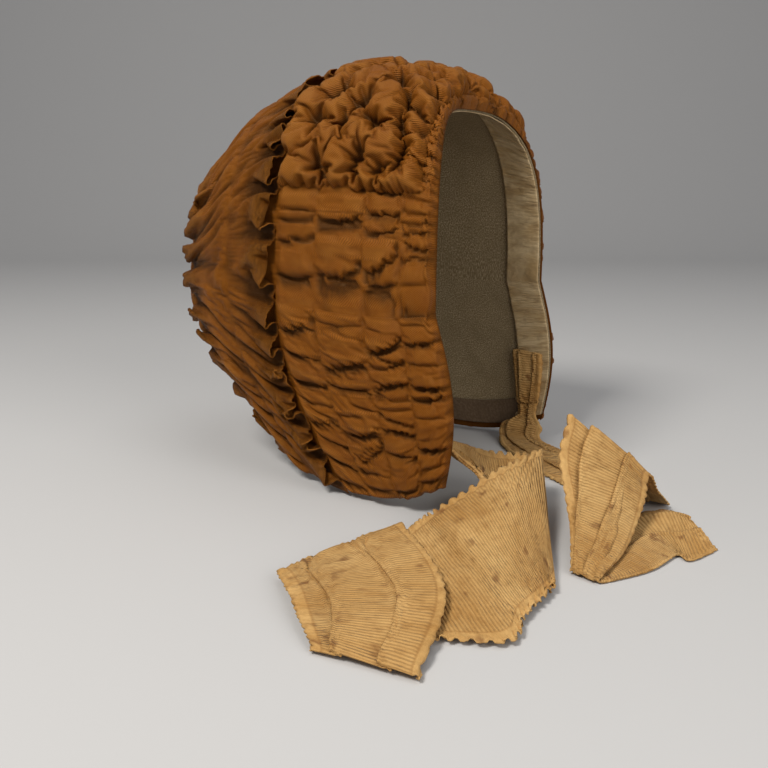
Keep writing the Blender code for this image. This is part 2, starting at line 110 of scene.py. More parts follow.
# Folds of the right side, panel 0 next to the face edge.
RIGHT_CREASES = (
    Crease(0, 0.412, 0.407, 0.000, 0.50), Crease(0, 0.432, 0.430, 0.000, 0.60),
    Crease(0, 0.455, 0.453, 0.002, 0.70), Crease(0, 0.470, 0.473, 0.000, 0.85),
    Crease(0, 0.486, 0.488, 0.000, 1.00), Crease(0, 0.514, 0.500, 0.002, 0.95),
    Crease(0, 0.526, 0.528, 0.000, 0.75), Crease(0, 0.5565, 0.5565, 0.0, 0.50),
    Crease(0, 0.579, 0.576, 0.002, 0.95), Crease(0, 0.600, 0.600, 0.000, 0.45),
    Crease(0, 0.636, 0.644, 0.000, 0.85), Crease(0, 0.690, 0.684, 0.002, 0.45),
    Crease(0, 0.746, 0.736, 0.000, 1.05), Crease(0, 0.768, 0.765, 0.000, 1.00),
    Crease(0, 0.815, 0.810, 0.000, 0.45), Crease(0, 0.894, 0.883, 0.000, 0.95),
    Crease(0, 0.930, 0.935, 0.000, 0.50), Crease(0, 0.968, 0.965, 0.000, 0.60),
    Crease(1, 0.419, 0.411, 0.006, 1.00), Crease(1, 0.458, 0.4555, 0.004, 1.05),
    Crease(1, 0.4713, 0.463, 0.000, 0.45, 0.15, 0.85), Crease(1, 0.487, 0.488, 0.000, 1.00),
    Crease(1, 0.507, 0.541, 0.011, 0.95), Crease(1, 0.554, 0.552, 0.004, 0.85),
    Crease(1, 0.578, 0.567, -0.010, 0.65), Crease(1, 0.630, 0.660, 0.008, 1.05),
    Crease(1, 0.683, 0.662, 0.006, 0.70, 0.0, 0.8), Crease(1, 0.681, 0.695, 0.006, 0.75),
    Crease(1, 0.732, 0.754, -0.010, 1.10), Crease(1, 0.765, 0.764, 0.000, 0.65),
    Crease(1, 0.790, 0.790, 0.000, 0.55), Crease(1, 0.833, 0.803, 0.000, 0.75),
    Crease(1, 0.860, 0.840, -0.010, 1.00), Crease(1, 0.905, 0.886, 0.000, 0.60),
    Crease(1, 0.980, 0.980, 0.000, 0.60),
    Crease(2, 0.394, 0.399, -0.004, 1.00), Crease(2, 0.413, 0.395, 0.000, 0.75, 0.0, 0.4),
    Crease(2, 0.466, 0.475, 0.004, 1.20), Crease(2, 0.4835, 0.493, -0.004, 0.35),
    Crease(2, 0.533, 0.546, 0.010, 1.15), Crease(2, 0.552, 0.5545, 0.000, 0.95),
    Crease(2, 0.6045, 0.636, -0.008, 0.40), Crease(2, 0.685, 0.715, 0.000, 1.05),
    Crease(2, 0.690, 0.765, 0.000, 0.60, 0.0, 0.6), Crease(2, 0.751, 0.751, 0.000, 1.15),
    Crease(2, 0.797, 0.777, 0.000, 0.55, 0.0, 0.6), Crease(2, 0.803, 0.817, 0.000, 0.60, 0.3, 1.0),
    Crease(2, 0.835, 0.850, 0.012, 1.05), Crease(2, 0.868, 0.930, 0.000, 1.15),
    Crease(2, 0.936, 0.940, 0.000, 0.60, 0.3, 1.0), Crease(2, 0.975, 0.978, 0.0, 0.6),
    Crease(3, 0.392, 0.388, 0.000, 1.00), Crease(3, 0.462, 0.4555, 0.000, 0.55, 0.0, 0.8),
    Crease(3, 0.475, 0.475, 0.000, 0.75), Crease(3, 0.503, 0.5135, 0.000, 0.85),
    Crease(3, 0.5535, 0.557, 0.000, 0.95), Crease(3, 0.610, 0.648, 0.010, 0.95),
    Crease(3, 0.695, 0.690, 0.000, 0.75), Crease(3, 0.751, 0.753, 0.000, 1.05),
    Crease(3, 0.797, 0.797, 0.000, 0.65), Crease(3, 0.833, 0.854, 0.000, 0.95),
    Crease(3, 0.890, 0.862, 0.000, 0.85), Crease(3, 0.934, 0.911, 0.000, 0.85),
    Crease(3, 0.972, 0.970, 0.000, 0.60),
)


def hermite(rows: Array, place: Array) -> Array:
    """Blend the rows of a table smoothly.

    Args:
        rows: the table, whose first column is the place.
        place: places to read, in any shape.

    Returns:
        The other columns at each place, in a last axis of their own.
    """
    places, values = rows[:, 0], rows[:, 1:]
    slopes = np.gradient(values, places, axis=0)
    slopes[1:-1] = (values[2:] - values[:-2]) / (places[2:] - places[:-2])[:, None]
    upper = np.clip(np.searchsorted(places, place, side="right"), 1, len(places) - 1)
    width = (places[upper] - places[upper - 1])[..., None]
    part = (place - places[upper - 1])[..., None] / width
    return ((2 * part ** 3 - 3 * part ** 2 + 1) * values[upper - 1]
            + (part ** 3 - 2 * part ** 2 + part) * width * slopes[upper - 1]
            + (3 * part ** 2 - 2 * part ** 3) * values[upper]
            + (part ** 3 - part ** 2) * width * slopes[upper])


def fade(value: Array, low: float, high: float) -> Array:
    """A smooth rise from 0 at low to 1 at high."""
    part = np.clip((value - low) / (high - low), 0.0, 1.0)
    return part * part * (3.0 - 2.0 * part)


def soft_noise(x: Array, y: Array, seed: int) -> Array:
    """Smooth noise over a plane.

    Args:
        x: first coordinate, one lattice cell to a unit.
        y: second coordinate.
        seed: number of the pattern.

    Returns:
        Values from about -1 to 1, in the shape of x.
    """
    cells = 64
    lattice = np.random.default_rng(seed).uniform(-1.0, 1.0, (cells, cells))
    cell_x, cell_y = np.floor(x).astype(int), np.floor(y).astype(int)
    part_x, part_y = x - cell_x, y - cell_y
    ease_x = part_x * part_x * (3.0 - 2.0 * part_x)
    ease_y = part_y * part_y * (3.0 - 2.0 * part_y)
    left, right = cell_x % cells, (cell_x + 1) % cells
    low, high = cell_y % cells, (cell_y + 1) % cells
    near = lattice[left, low] * (1 - ease_x) + lattice[right, low] * ease_x
    far = lattice[left, high] * (1 - ease_x) + lattice[right, high] * ease_x
    return near * (1 - ease_y) + far * ease_y


@dataclass(frozen=True)
class HoodForm:
    """The smooth outer surface that every silk piece is laid on."""

    width: float = 0.204
    depth: float = 0.266
    height: float = 0.286
    limb: float = 0.42
    wall: float = 0.0050
    lining_gap: float = 0.0003
    lining_wall: float = 0.0012
    seat_share: float = 0.50
    table: tuple[Station, ...] = STATIONS

    def outline(self, back: Array, around: Array) -> Array:
        """Points of the smooth surface, measured up from the table.

        Args:
            back: shares from the face edge to the back seam.
            around: shares around the hood.

        Returns:
            The points, with x, y and z in the last axis.
        """
        back, around = np.broadcast_arrays(np.asarray(back, float), np.asarray(around, float))
        s = Station(back, *np.moveaxis(hermite(np.array(self.table), back), -1, 0))
        foot = np.abs(around)
        half = np.maximum(s.half_width, 0.0) * self.width
        foot_half = np.maximum(s.foot_half_width, 0.0) * self.width
        side_back, wide_rise = s.side_back * self.depth, s.wide_rise * self.height
        climb = np.clip((1.0 - foot) / self.limb, 0.0, 1.0)
        swell = np.sin(climb * math.pi / 2.0)
        low_x = foot_half + (half - foot_half) * swell
        low_y = (s.foot_back * self.depth + (side_back - s.foot_back * self.depth) * swell
                 - s.cheek * self.depth * np.sin(climb * math.pi))
        low_z = s.foot_rise * self.height + (wide_rise - s.foot_rise * self.height) * climb
        turn = np.clip((1.0 - self.limb - foot) / (1.0 - self.limb), 0.0, 1.0) * math.pi / 2.0
        power = 2.0 / s.roundness
        high_x = half * np.maximum(np.cos(turn), 0.0) ** power
        high_y = side_back + (s.crown_back * self.depth - side_back) * (1.0 - np.cos(turn))
        high_z = wide_rise + (s.crown_rise * self.height - wide_rise) * np.sin(turn) ** power
        low = foot > 1.0 - self.limb
        x = np.where(low, low_x, high_x) * np.where(around < 0.0, -1.0, 1.0)
        return np.stack([x, np.where(low, low_y, high_y), np.where(low, low_z, high_z)], -1)

    def directions(self, back: Array, around: Array) -> tuple[Array, Array, Array]:
        """Unit vectors at places of the surface.

        Args:
            back: shares from the face edge to the back seam.
            around: shares around the hood.

        Returns:
            Vectors along the cloth to the back, along it around, and straight out of it.
        """
        step = 0.008
        back, around = np.broadcast_arrays(np.asarray(back, float), np.asarray(around, float))
        held = np.minimum(back, 1.0 - 2.0 * step)
        backward = (self.outline(held + step, around)
                    - self.outline(np.maximum(held - step, 0.0), around))
        sideways = (self.outline(held, np.minimum(around + step, 1.0))
                    - self.outline(held, np.maximum(around - step, -1.0)))
        outward = np.cross(sideways, backward)
        outward[..., 0] *= 1.0 - fade(back, 0.97, 1.0)
        return tuple(v / np.maximum(np.linalg.norm(v, axis=-1, keepdims=True), 1e-12)
                     for v in (backward, sideways, outward))

    def point(self, back: Array, around: Array, lift: Array, swing: Array = 0.0,
              slip: Array = 0.0) -> Array:
        """Points near the surface, in the row's frame.

        Args:
            back: shares from the face edge to the back seam.
            around: shares around the hood.
            lift: metres out of the surface.
            swing: metres along the cloth to the back.
            slip: metres along the cloth around.

        Returns:
            The points in metres.
        """
        backward, sideways, outward = self.directions(back, around)
        lift, swing, slip = (np.asarray(v, float)[..., None] for v in (lift, swing, slip))
        point = self.outline(back, around) + outward * lift + backward * swing + sideways * slip
        point[..., 0] = np.where(np.asarray(back) >= 1.0, 0.0, point[..., 0])
        return point - self.seat()

    def seat(self) -> Array:
        """Find the head seat, measured up from the table.

        Returns:
            The point under the crown where the head touches the lining.
        """
        back, around = np.array([self.seat_share]), np.array([0.0])
        _, _, outward = self.directions(back, around)
        inside = self.wall + self.lining_gap + self.lining_wall
        return (self.outline(back, around) - outward * inside)[0]


FORM = HoodForm()


class NodeNet:
    """A material's node tree, with short ways to add and join its nodes."""

    def __init__(self, name: str) -> None:
        """Start a material.

        Args:
            name: the material's name.
        """
        self.material = bpy.data.materials.new(name)
        self.material.use_nodes = True
        self.tree = self.material.node_tree
        self.shader = self.tree.nodes["Principled BSDF"]

    def add(self, kind: str, **settings: object) -> bpy.types.Node:
        """Add a node and set its properties.

        Args:
            kind: the node's type.
            settings: its properties by name.

        Returns:
            The new node.
        """
        node = self.tree.nodes.new(kind)
        for key, value in settings.items():
            setattr(node, key, value)
        return node

    def feed(self, target: Socket, value: object) -> None:
        """Link a socket, or set its value.

        Args:
            target: the socket that is fed.
            value: the socket or the value it gets.
        """
        if isinstance(value, Socket):
            self.tree.links.new(value, target)
        else:
            target.default_value = value

    def math(self, kind: str, *numbers: object) -> Socket:
        """Work a number out from others.

        Args:
            kind: the operation.
            numbers: what it works on, one to three numbers or sockets.

        Returns:
            The result.
        """
        node = self.add("ShaderNodeMath", operation=kind)
        for socket, number in zip(node.inputs, numbers):
            self.feed(socket, number)
        return node.outputs[0]

    def wave(self, along: object, pitch: float) -> Socket:
        """Make a wave between 0 and 1.

        Args:
            along: millimetres along the cloth.
            pitch: millimetres from crest to crest.

        Returns:
            The wave.
        """
        phase = self.math("MULTIPLY", along, 2.0 * math.pi / pitch)
        return self.math("MULTIPLY_ADD", self.math("SINE", phase), 0.5, 0.5)

    def cloth(self) -> tuple[Socket, Socket, Socket]:
        """Read the cloth's own coordinates in millimetres.

        Returns:
            Both coordinates together, then across and along by themselves.
        """
        place = self.add("ShaderNodeUVMap", uv_map="cloth").outputs[0]
        scaled = self.add("ShaderNodeVectorMath", operation="SCALE")
        self.feed(scaled.inputs[0], place)
        scaled.inputs["Scale"].default_value = 1000.0
        split = self.add("ShaderNodeSeparateXYZ")
        self.feed(split.inputs[0], scaled.outputs[0])
        return scaled.outputs[0], split.outputs[0], split.outputs[1]

    def noise(self, place: object, scale: float, detail: float = 3.0,
              stretch: Sequence[float] = (1, 1, 1), roughness: float = 0.55) -> Socket:
        """Make noise over a place.

        Args:
            place: where it is read.
            scale: its fineness, in cells to a millimetre.
            detail: octaves of it.
            stretch: how much finer it is along each axis.
            roughness: weight of the finer octaves.

        Returns:
            The noise, from 0 to 1.
        """
        mapping = self.add("ShaderNodeMapping")
        self.feed(mapping.inputs["Vector"], place)
        mapping.inputs["Scale"].default_value = stretch
        node = self.add("ShaderNodeTexNoise")
        self.feed(node.inputs["Vector"], mapping.outputs[0])
        for name, number in (("Scale", scale), ("Detail", detail), ("Roughness", roughness)):
            node.inputs[name].default_value = number
        return node.outputs["Fac"]

    def spread(self, value: object, low: float, high: float, to_low: float = 0.0,
               to_high: float = 1.0) -> Socket:
        """Move a number from one range to another and keep it inside.

        Args:
            value: the number.
            low: start of its own range.
            high: end of its own range.
            to_low: what low becomes.
            to_high: what high becomes.

        Returns:
            The moved number.
        """
        node = self.add("ShaderNodeMapRange")
        for name, number in (("Value", value), ("From Min", low), ("From Max", high),
                             ("To Min", to_low), ("To Max", to_high)):
            self.feed(node.inputs[name], number)
        return node.outputs[0]

    def mix(self, share: object, first: object, second: object) -> Socket:
        """Mix two colours.

        Args:
            share: how much of the second there is.
            first: a colour or a socket.
            second: a colour or a socket.

        Returns:
            The mixed colour.
        """
        node = self.add("ShaderNodeMix", data_type="RGBA", blend_type="MIX")
        self.feed(node.inputs["Factor"], share)
        sockets = [s for s in node.inputs if s.type == "RGBA"]
        for socket, colour in zip(sockets, (first, second)):
            self.feed(socket, (*colour, 1.0) if isinstance(colour, tuple) else colour)
        return [s for s in node.outputs if s.type == "RGBA"][0]

    def tint(self, base: object, colour: Colour, value: object, low: float, high: float,
             to_low: float = 0.0, to_high: float = 1.0) -> Socket:
        """Lay a colour over another by a number moved into a range.

        Args:
            base: what lies under it.
            colour: what is laid over.
            value: the number.
            low: start of its own range.
            high: end of its own range.
            to_low: share of the colour at low.
            to_high: share of the colour at high.

        Returns:
            The mixed colour.
        """
        return self.mix(self.spread(value, low, high, to_low, to_high), base, colour)

    def bump(self, height: object, distance: float, strength: float = 1.0,
             under: object = None) -> Socket:
        """Make a bump from a height.

        Args:
            height: the height, from 0 to 1.
            distance: metres from its lowest to its highest.
            strength: how much of it shows.
            under: another bump that it lies on.

        Returns:
            The normal.
        """
        node = self.add("ShaderNodeBump")
        node.inputs["Strength"].default_value = strength
        node.inputs["Distance"].default_value = distance
        self.feed(node.inputs["Height"], height)
        if under is not None:
            self.feed(node.inputs["Normal"], under)
        return node.outputs[0]

    def close(self, colour: object, roughness: object, normal: object = None, sheen: float = 0.0,
              sheen_tint: Sequence[float] = (1, 1, 1), specular: float = 0.5,
              gloss: Sequence[float] = (1, 1, 1)) -> bpy.types.Material:
        """Join the shader's sockets.

        Args:
            colour: base colour.
            roughness: roughness.
            normal: the last bump, if there is one.
            sheen: weight of the fuzz.
            sheen_tint: colour of the fuzz.
            specular: level of the shine.
            gloss: colour of the shine.

        Returns:
            The material.
        """
        inputs = self.shader.inputs
        self.feed(inputs["Base Color"], colour)
        self.feed(inputs["Roughness"], roughness)
        if normal is not None:
            self.feed(inputs["Normal"], normal)
        for name, value in (("Specular IOR Level", specular), ("Specular Tint", (*gloss, 1.0)),
                            ("Sheen Weight", sheen), ("Sheen Roughness", 0.35),
                            ("Sheen Tint", (*sheen_tint, 1.0))):
            inputs[name].default_value = value
        return self.material


@dataclass(frozen=True)
class SilkTwill:
    """Rust-brown silk twill, its fine diagonal weave, its ridges lighter (partly worn, partly a
    painted highlight) and painted shade in its folds.
    """

    name: str = "silk_twill"
    body: Colour = (0.200, 0.059, 0.0040)
    # Laid on worn patches and fibres, and on the ridges partly as wear and partly as a painted
    # highlight.
    worn: Colour = (0.310, 0.120, 0.018)
    # Painted shade in the folds, and the darker lines of the twill weave.
    fold_shade_and_twill: Colour = (0.030, 0.008, 0.001)
    red: Colour = (0.175, 0.050, 0.005)
    pitch: float = 1.05
    lean: float = 55.0
    crush_height: float = 0.0009
    fibre_height: float = 0.00025
    ridge_height: float = 0.00034

    def build(self) -> bpy.types.Material:
        """Make the material.

        Returns:
            The silk.
        """
        net = NodeNet(self.name)
        place, across, along = net.cloth()
        turn = math.radians(self.lean)
        wobble = net.math("MULTIPLY", net.noise(place, 0.08, 2.0), 2.2)
        line = net.math("ADD", net.math("MULTIPLY", across, math.cos(turn)),
                        net.math("MULTIPLY", along, math.sin(turn)))
        ridge = net.wave(net.math("ADD", line, wobble), self.pitch)
        blotch = net.noise(place, 0.030, 4.0)
        patch = net.noise(place, 0.11, 3.0)
        fibre = net.noise(place, 1.6, 2.0, (0.35, 1.6, 1.0))
        relief = net.add("ShaderNodeAttribute", attribute_name="relief").outputs["Fac"]
        base = net.tint(self.body, self.red, blotch, 0.42, 0.66)
        base = net.tint(base, self.worn, patch, 0.45, 0.72, 0.0, 0.32)
        # From the relief: ridges lighter, partly wear and partly a painted highlight; folds darker
        # as painted shade.
        base = net.tint(base, self.worn, relief, 0.72, 1.05, 0.0, 0.42)
        base = net.tint(base, self.fold_shade_and_twill, relief, 0.47, 0.08, 0.0, 0.95)
        base = net.tint(base, self.fold_shade_and_twill, ridge, 0.0, 0.60, 0.52, 0.0)
        base = net.tint(base, self.worn, fibre, 0.35, 0.75, 0.0, 0.22)
        crush = net.noise(place, 0.35, 4.0, (0.6, 1.5, 1.0), 0.6)
        bump = net.bump(crush, self.crush_height, 0.55)
        bump = net.bump(fibre, self.fibre_height, 0.5, bump)
        bump = net.bump(ridge, self.ridge_height, 0.85, bump)
        rough = net.spread(ridge, 0.0, 1.0, 0.62, 0.44)
        return net.close(base, rough, bump, specular=0.30, gloss=(1.0, 0.62, 0.30))


@dataclass(frozen=True)
class Grosgrain:
    """Aged cream grosgrain ribbon with its ribs, plain pinked edges and stains."""

    name: str = "grosgrain"
    body: Colour = (0.390, 0.205, 0.058)
    pale: Colour = (0.560, 0.345, 0.130)
    groove: Colour = (0.240, 0.108, 0.026)
    stain: Colour = (0.150, 0.055, 0.014)
    pitch: float = 1.95
    width: float = 90.0
    edge: float = 6.5
    seed: float = 0.0

    dent_height: float = 0.0042
    grain_height: float = 0.0002
    hem_height: float = 0.0006
    rib_height: float = 0.0005

    def build(self) -> bpy.types.Material:
        """Make the material.

        Returns:
            The ribbon's cloth.
        """
        net = NodeNet(self.name)
        place, across, along = net.cloth()
        shifted = net.add("ShaderNodeVectorMath", operation="ADD")
        net.feed(shifted.inputs[0], place)
        shifted.inputs[1].default_value = (self.seed * 131.0, self.seed * 57.0, 0.0)
        place = shifted.outputs[0]
        wobble = net.math("MULTIPLY", net.noise(place, 0.05, 2.0), 1.6)
        rib = net.math("POWER", net.wave(net.math("ADD", along, wobble), self.pitch), 0.6)
        middle = net.math("ABSOLUTE", net.math("SUBTRACT", across, self.width / 2.0))
        from_edge = net.math("SUBTRACT", self.width / 2.0, middle)
        inside = net.spread(from_edge, self.edge - 0.8, self.edge + 0.8)
        ribbed = net.math("MULTIPLY", rib, inside)
        from_hem = net.math("ABSOLUTE", net.math("SUBTRACT", from_edge, self.edge))
        hem = net.math("SUBTRACT", 1.0, net.spread(from_hem, 0.0, 0.9))
        blotch = net.noise(place, 0.022, 4.0)
        streak = net.noise(place, 0.30, 3.0, (0.12, 1.4, 1.0))
        mottle = net.noise(place, 0.16, 4.0)
        spots = net.noise(place, 0.075, 2.0)
        base = net.tint(self.body, self.pale, blotch, 0.38, 0.66)
        base = net.tint(base, self.pale, streak, 0.40, 0.75, 0.0, 0.45)
        base = net.tint(base, self.groove, mottle, 0.48, 0.72, 0.0, 0.50)
        dark = net.math("MULTIPLY", net.spread(ribbed, 0.0, 0.75, 0.40, 0.0), inside)
        base = net.mix(dark, base, self.groove)
        base = net.mix(net.math("MULTIPLY", hem, 0.45), base, self.groove)
        base = net.tint(base, self.stain, spots, 0.62, 0.72, 0.0, 0.70)
        bump = net.bump(net.noise(place, 0.06, 4.0, (1.0, 1.5, 1.0)), self.dent_height, 0.75)
        bump = net.bump(net.noise(place, 2.2, 3.0), self.grain_height, 0.5, bump)
        bump = net.bump(hem, self.hem_height, -0.5, bump)
        bump = net.bump(ribbed, self.rib_height, 0.9, bump)
        return net.close(base, 0.75, bump, 0.04, (1.0, 0.92, 0.8), 0.22)


@dataclass(frozen=True)
class AgedSatin:
    """Champagne satin with soft crossways creases and grey wear."""

    name: str = "aged_satin"
    body: Colour = (0.400, 0.270, 0.125)
    pale: Colour = (0.580, 0.440, 0.250)
    worn: Colour = (0.220, 0.135, 0.060)

    crease_height: float = 0.0030
    thread_height: float = 0.0001

    def build(self) -> bpy.types.Material:
        """Make the material.

        Returns:
            The satin.
        """
        net = NodeNet(self.name)
        place, _, _ = net.cloth()
        soft = net.noise(place, 0.06, 3.0, (0.5, 1.4, 1.0))
        wear = net.noise(place, 0.10, 4.0)
        thread = net.noise(place, 2.5, 2.0, (0.1, 2.0, 1.0))
        base = net.tint(self.body, self.pale, soft, 0.4, 0.65)
        base = net.tint(base, self.worn, wear, 0.50, 0.75, 0.0, 0.6)
        bump = net.bump(net.noise(place, 0.14, 3.0, (0.4, 1.8, 1.0)), self.crease_height, 0.9)
        bump = net.bump(thread, self.thread_height, 0.5, bump)
        rough = net.spread(wear, 0.3, 0.7, 0.30, 0.5)
        return net.close(base, rough, bump, 0.1, (1.0, 0.95, 0.85), 0.55)


@dataclass(frozen=True)
class PlainCloth:
    """A plain dull cloth with a speckle: the wool lining, the neck satin darkened as painted
    shade, the threads.
    """

    name: str
    body: Colour
    speck: Colour
    grain: float = 0.9
    roughness: float = 0.9
    fuzz: float = 0.0005

    def build(self) -> bpy.types.Material:
        """Make the material.

        Returns:
            The cloth.
        """
        net = NodeNet(self.name)
        place, _, _ = net.cloth()
        speckle = net.noise(place, self.grain, 5.0, (1, 1, 1), 0.7)
        broad = net.noise(place, 0.05, 3.0)
        base = net.tint(self.body, self.speck, speckle, 0.45, 0.62)
        base = net.tint(base, self.body, broad, 0.4, 0.8, 0.0, 0.5)
        bump = net.bump(speckle, self.fuzz, 0.7)
        return net.close(base, self.roughness, bump, 0.2, (0.9, 0.85, 0.75), 0.25)


@dataclass
class ClothGrid:
    """A grid of cloth, open or closed into a padded wall, with its own coordinates."""

    name: str
    columns: int
    rows: int
    inner_shade_relief: float = 0.3

    def build(self, outer: Array, cloth: Array, relief: Array | None = None,
              inner: Array | None = None) -> bpy.types.Object:
        """Make the object.

        Args:
            outer: points of the outside, indexed by row and column.
            cloth: places on the flat cloth in metres, indexed in the same way.
            relief: how far each point stands proud, from 0 to 1, read by the silk to paint shade
                and highlight.
            inner: points of the inside, for a closed wall.

        Returns:
            The new object, at the origin.
        """
        builder = bmesh.new()
        wall = builder.verts.layers.float.new("wall")
        bmesh.ops.create_grid(builder, x_segments=self.columns, y_segments=self.rows, size=1.0)
        if inner is not None:
            made = bmesh.ops.extrude_face_region(builder, geom=list(builder.faces))
            for item in made["geom"]:
                if isinstance(item, bmesh.types.BMVert):
                    item[wall] = 1.0
        mesh = bpy.data.meshes.new(self.name)
        builder.to_mesh(mesh)
        builder.free()
        count = len(mesh.vertices)
        flat = np.empty(count * 3)
        mesh.vertices.foreach_get("co", flat)
        flat = flat.reshape(-1, 3)
        column = np.rint((flat[:, 0] + 1.0) / 2.0 * self.columns).astype(int)
        row = np.rint((flat[:, 1] + 1.0) / 2.0 * self.rows).astype(int)
        inside = np.empty(count)
        mesh.attributes["wall"].data.foreach_get("value", inside)
        inside = inside > 0.5
        points = outer[row, column]
        if inner is not None:
            points = np.where(inside[:, None], inner[row, column], points)
        mesh.vertices.foreach_set("co", points.ravel())
        corner = np.empty(len(mesh.loops), dtype=int)
        mesh.loops.foreach_get("vertex_index", corner)
        layer = mesh.uv_layers.new(name="cloth")
        layer.data.foreach_set("uv", cloth[row, column][corner].ravel())
        if relief is not None:
            kept = mesh.attributes.new("relief", "FLOAT", "POINT")
            # The inside wall takes a low relief, so the silk paints it darker as shade.
            shades = np.where(inside, self.inner_shade_relief, relief[row, column])
            kept.data.foreach_set("value", shades.astype(np.float32))
        mesh.attributes.remove(mesh.attributes["wall"])
        builder = bmesh.new()
        builder.from_mesh(mesh)
        bmesh.ops.remove_doubles(builder, verts=builder.verts, dist=1e-7)
        bmesh.ops.recalc_face_normals(builder, faces=builder.faces)
        builder.to_mesh(mesh)
        builder.free()
        mesh.shade_smooth()
        item = bpy.data.objects.new(self.name, mesh)
        bpy.context.scene.collection.objects.link(item)
        return item


def give_wall(piece: bpy.types.Object, wall: float) -> None:
    """Give an open cloth its thickness, both ways from its middle.

    Args:
        piece: the cloth.
        wall: its thickness in metres.
    """
    solid = piece.modifiers.new("wall", "SOLIDIFY")
    solid.thickness = wall
    solid.offset = 0.0


def settle(piece: bpy.types.Object, finish: bpy.types.Material,
           nodes: Sequence[str]) -> None:
    """Dress a piece, hang it on the row's body and hide the solids it replaces.

    Args:
        piece: the piece.
        finish: its material.
        nodes: names of the solids it replaces.
    """
    piece.data.materials.append(finish)
    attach(piece, "root")
    if nodes:
        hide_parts(*nodes)
    LOG.info("%s: %d faces", piece.name, len(piece.data.polygons))


@dataclass
class ShirredSilk:
    """The relief of shirred silk between stitch rows: puffs, folds and fine puckers."""

    stitches: tuple[float, ...] = (0.0, 0.17, 0.33, 0.49, 0.66)
    rise: float = 0.0034
    dip: float = 0.0012
    overhang: float = 0.0021
    reach: float = 320.0
    charted_from: float = 0.395
    seed: int = 11
    creases: tuple[Crease, ...] = RIGHT_CREASES

    def folds(self, panel: int, side: Side) -> list[Crease]:
        """All folds of one panel on one side: the charted ones, then small ones from a seed.

        Args:
            panel: number of the panel from the face edge.
            side: the side of the hood.

        Returns:
            The folds, with places as shares down the side.
        """
        random = np.random.default_rng(self.seed + panel * 7 + (100 if side is Side.LEFT else 0))
        found = []
        if side is Side.RIGHT:
            found += [c for c in self.creases if c.panel == panel]
            place = 0.02
        else:
            place = 0.015 + 0.01 * random.random()
        limit = self.charted_from if side is Side.RIGHT else 1.0
        while place < limit:
            lean = random.normal(0.0, 0.010)
            found.append(Crease(panel, place, place + lean, random.normal(0.0, 0.004),
                                random.uniform(0.5, 1.15)))
            place += random.uniform(0.022, 0.052) * (0.7 if panel == 0 else 1.0)
        place = 0.01
        while place < 0.99:
            size = random.uniform(0.15, 0.55)
            front = random.random() < 0.5
            lean = random.normal(0.0, 0.012)
            found.append(Crease(panel, place, place + lean, 0.0, random.uniform(0.08, 0.30),
                                0.0 if front else 1.0 - size, size if front else 1.0))
            place += random.uniform(0.011, 0.028)
        return found

    def panel_of(self, back: Array) -> tuple[Array, Array]:
        """Find the panel at each share to the back.

        Args:
            back: shares from the face edge.

        Returns:
            The panels' numbers, and the part of the way across each.
        """
        stitches = np.array(self.stitches)
        panel = np.clip(np.searchsorted(stitches, back, side="right") - 1, 0, len(stitches) - 2)
        part = (back - stitches[panel]) / (stitches[panel + 1] - stitches[panel])
        return panel, np.clip(part, 0.0, 1.0)

    @staticmethod
    def window(crease: Crease, part: Array) -> Array:
        """How strongly a fold shows across its panel.

        Args:
            crease: the fold.
            part: parts of the way across.

        Returns:
            Strengths from 0 to 1.
        """
        size = np.ones_like(part)
        if crease.begin > 0.0:
            size = size * fade(part, crease.begin - 0.02, crease.begin + 0.15)
        if crease.end < 1.0:
            size = size * (1.0 - fade(part, crease.end - 0.15, crease.end + 0.02))
        return size

    def relief(self, back: Array, around: Array) -> tuple[Array, Array, Array]:
        """The shape of the silk at places of the grid.

        Args:
            back: shares to the back, one for each column.
            around: shares around, indexed by row and column.

        Returns:
            Lift out of the surface, slip around it, both in metres, and relief from 0 to 1.
        """
        lift, slip = np.zeros_like(around), np.zeros_like(around)
        height = np.zeros_like(around)
        panels, parts = self.panel_of(back)
        for panel in range(len(self.stitches) - 1):
            chosen = np.nonzero(panels == panel)[0]
            part = parts[chosen][None, :]
            arch = 0.42 + 0.58 * np.sin(part * math.pi) ** 0.6
            for side in Side:
                down = around[:, chosen] * side.value
                own = down >= 0.0 if side is Side.LEFT else down > 0.0
                groove, move = np.zeros_like(down), np.zeros_like(down)
                for crease in self.folds(panel, side):
                    line = (crease.front + (crease.back - crease.front) * part
                            + crease.bow * 4.0 * part * (1.0 - part))
                    away = (down - line) * self.reach
                    size = crease.depth * self.window(crease, part)
                    below = away > 0.0
                    wide = 2.4 + 2.2 * min(crease.depth, 1.0)
                    cut = np.where(below, np.exp(-away / wide), np.exp(away / 1.3))
                    groove = 1.0 - (1.0 - groove) * (1.0 - np.clip(0.98 * size * cut, 0.0, 0.98))
                    near = np.where(below, -0.45 * np.exp(-away / 1.3), np.exp(away / 1.5))
                    move = move + size * near * np.clip(size * 1.2, 0.0, 1.0)
                swell = soft_noise(down * 22.0 + panel * 9.0, part * 1.6 + 5.0 * panel,
                                   self.seed + panel)
                fine = soft_noise(down * 90.0, part * 3.0 + panel, self.seed + 31 + panel)
                top = arch * (1.0 + 0.20 * swell + 0.05 * fine) * (1.0 - groove)
                pucker = soft_noise(down * 66.0, part * 0.8 + 3.0 * panel,
                                    self.seed + 60 + panel)
                near_stitch = np.exp(-np.minimum(part, 1.0 - part) * 9.0)
                top = top + 0.26 * near_stitch * pucker
                lift[:, chosen] = np.where(own, self.rise * 1.75 * top - self.dip, lift[:, chosen])
                slip[:, chosen] = np.where(own, side.value * self.overhang * np.clip(move, -1, 1.3)
                                           * np.minimum(arch, 1.0), slip[:, chosen])
                height[:, chosen] = np.where(own, np.clip(top, 0.0, 1.2), height[:, chosen])
        return lift, slip, height


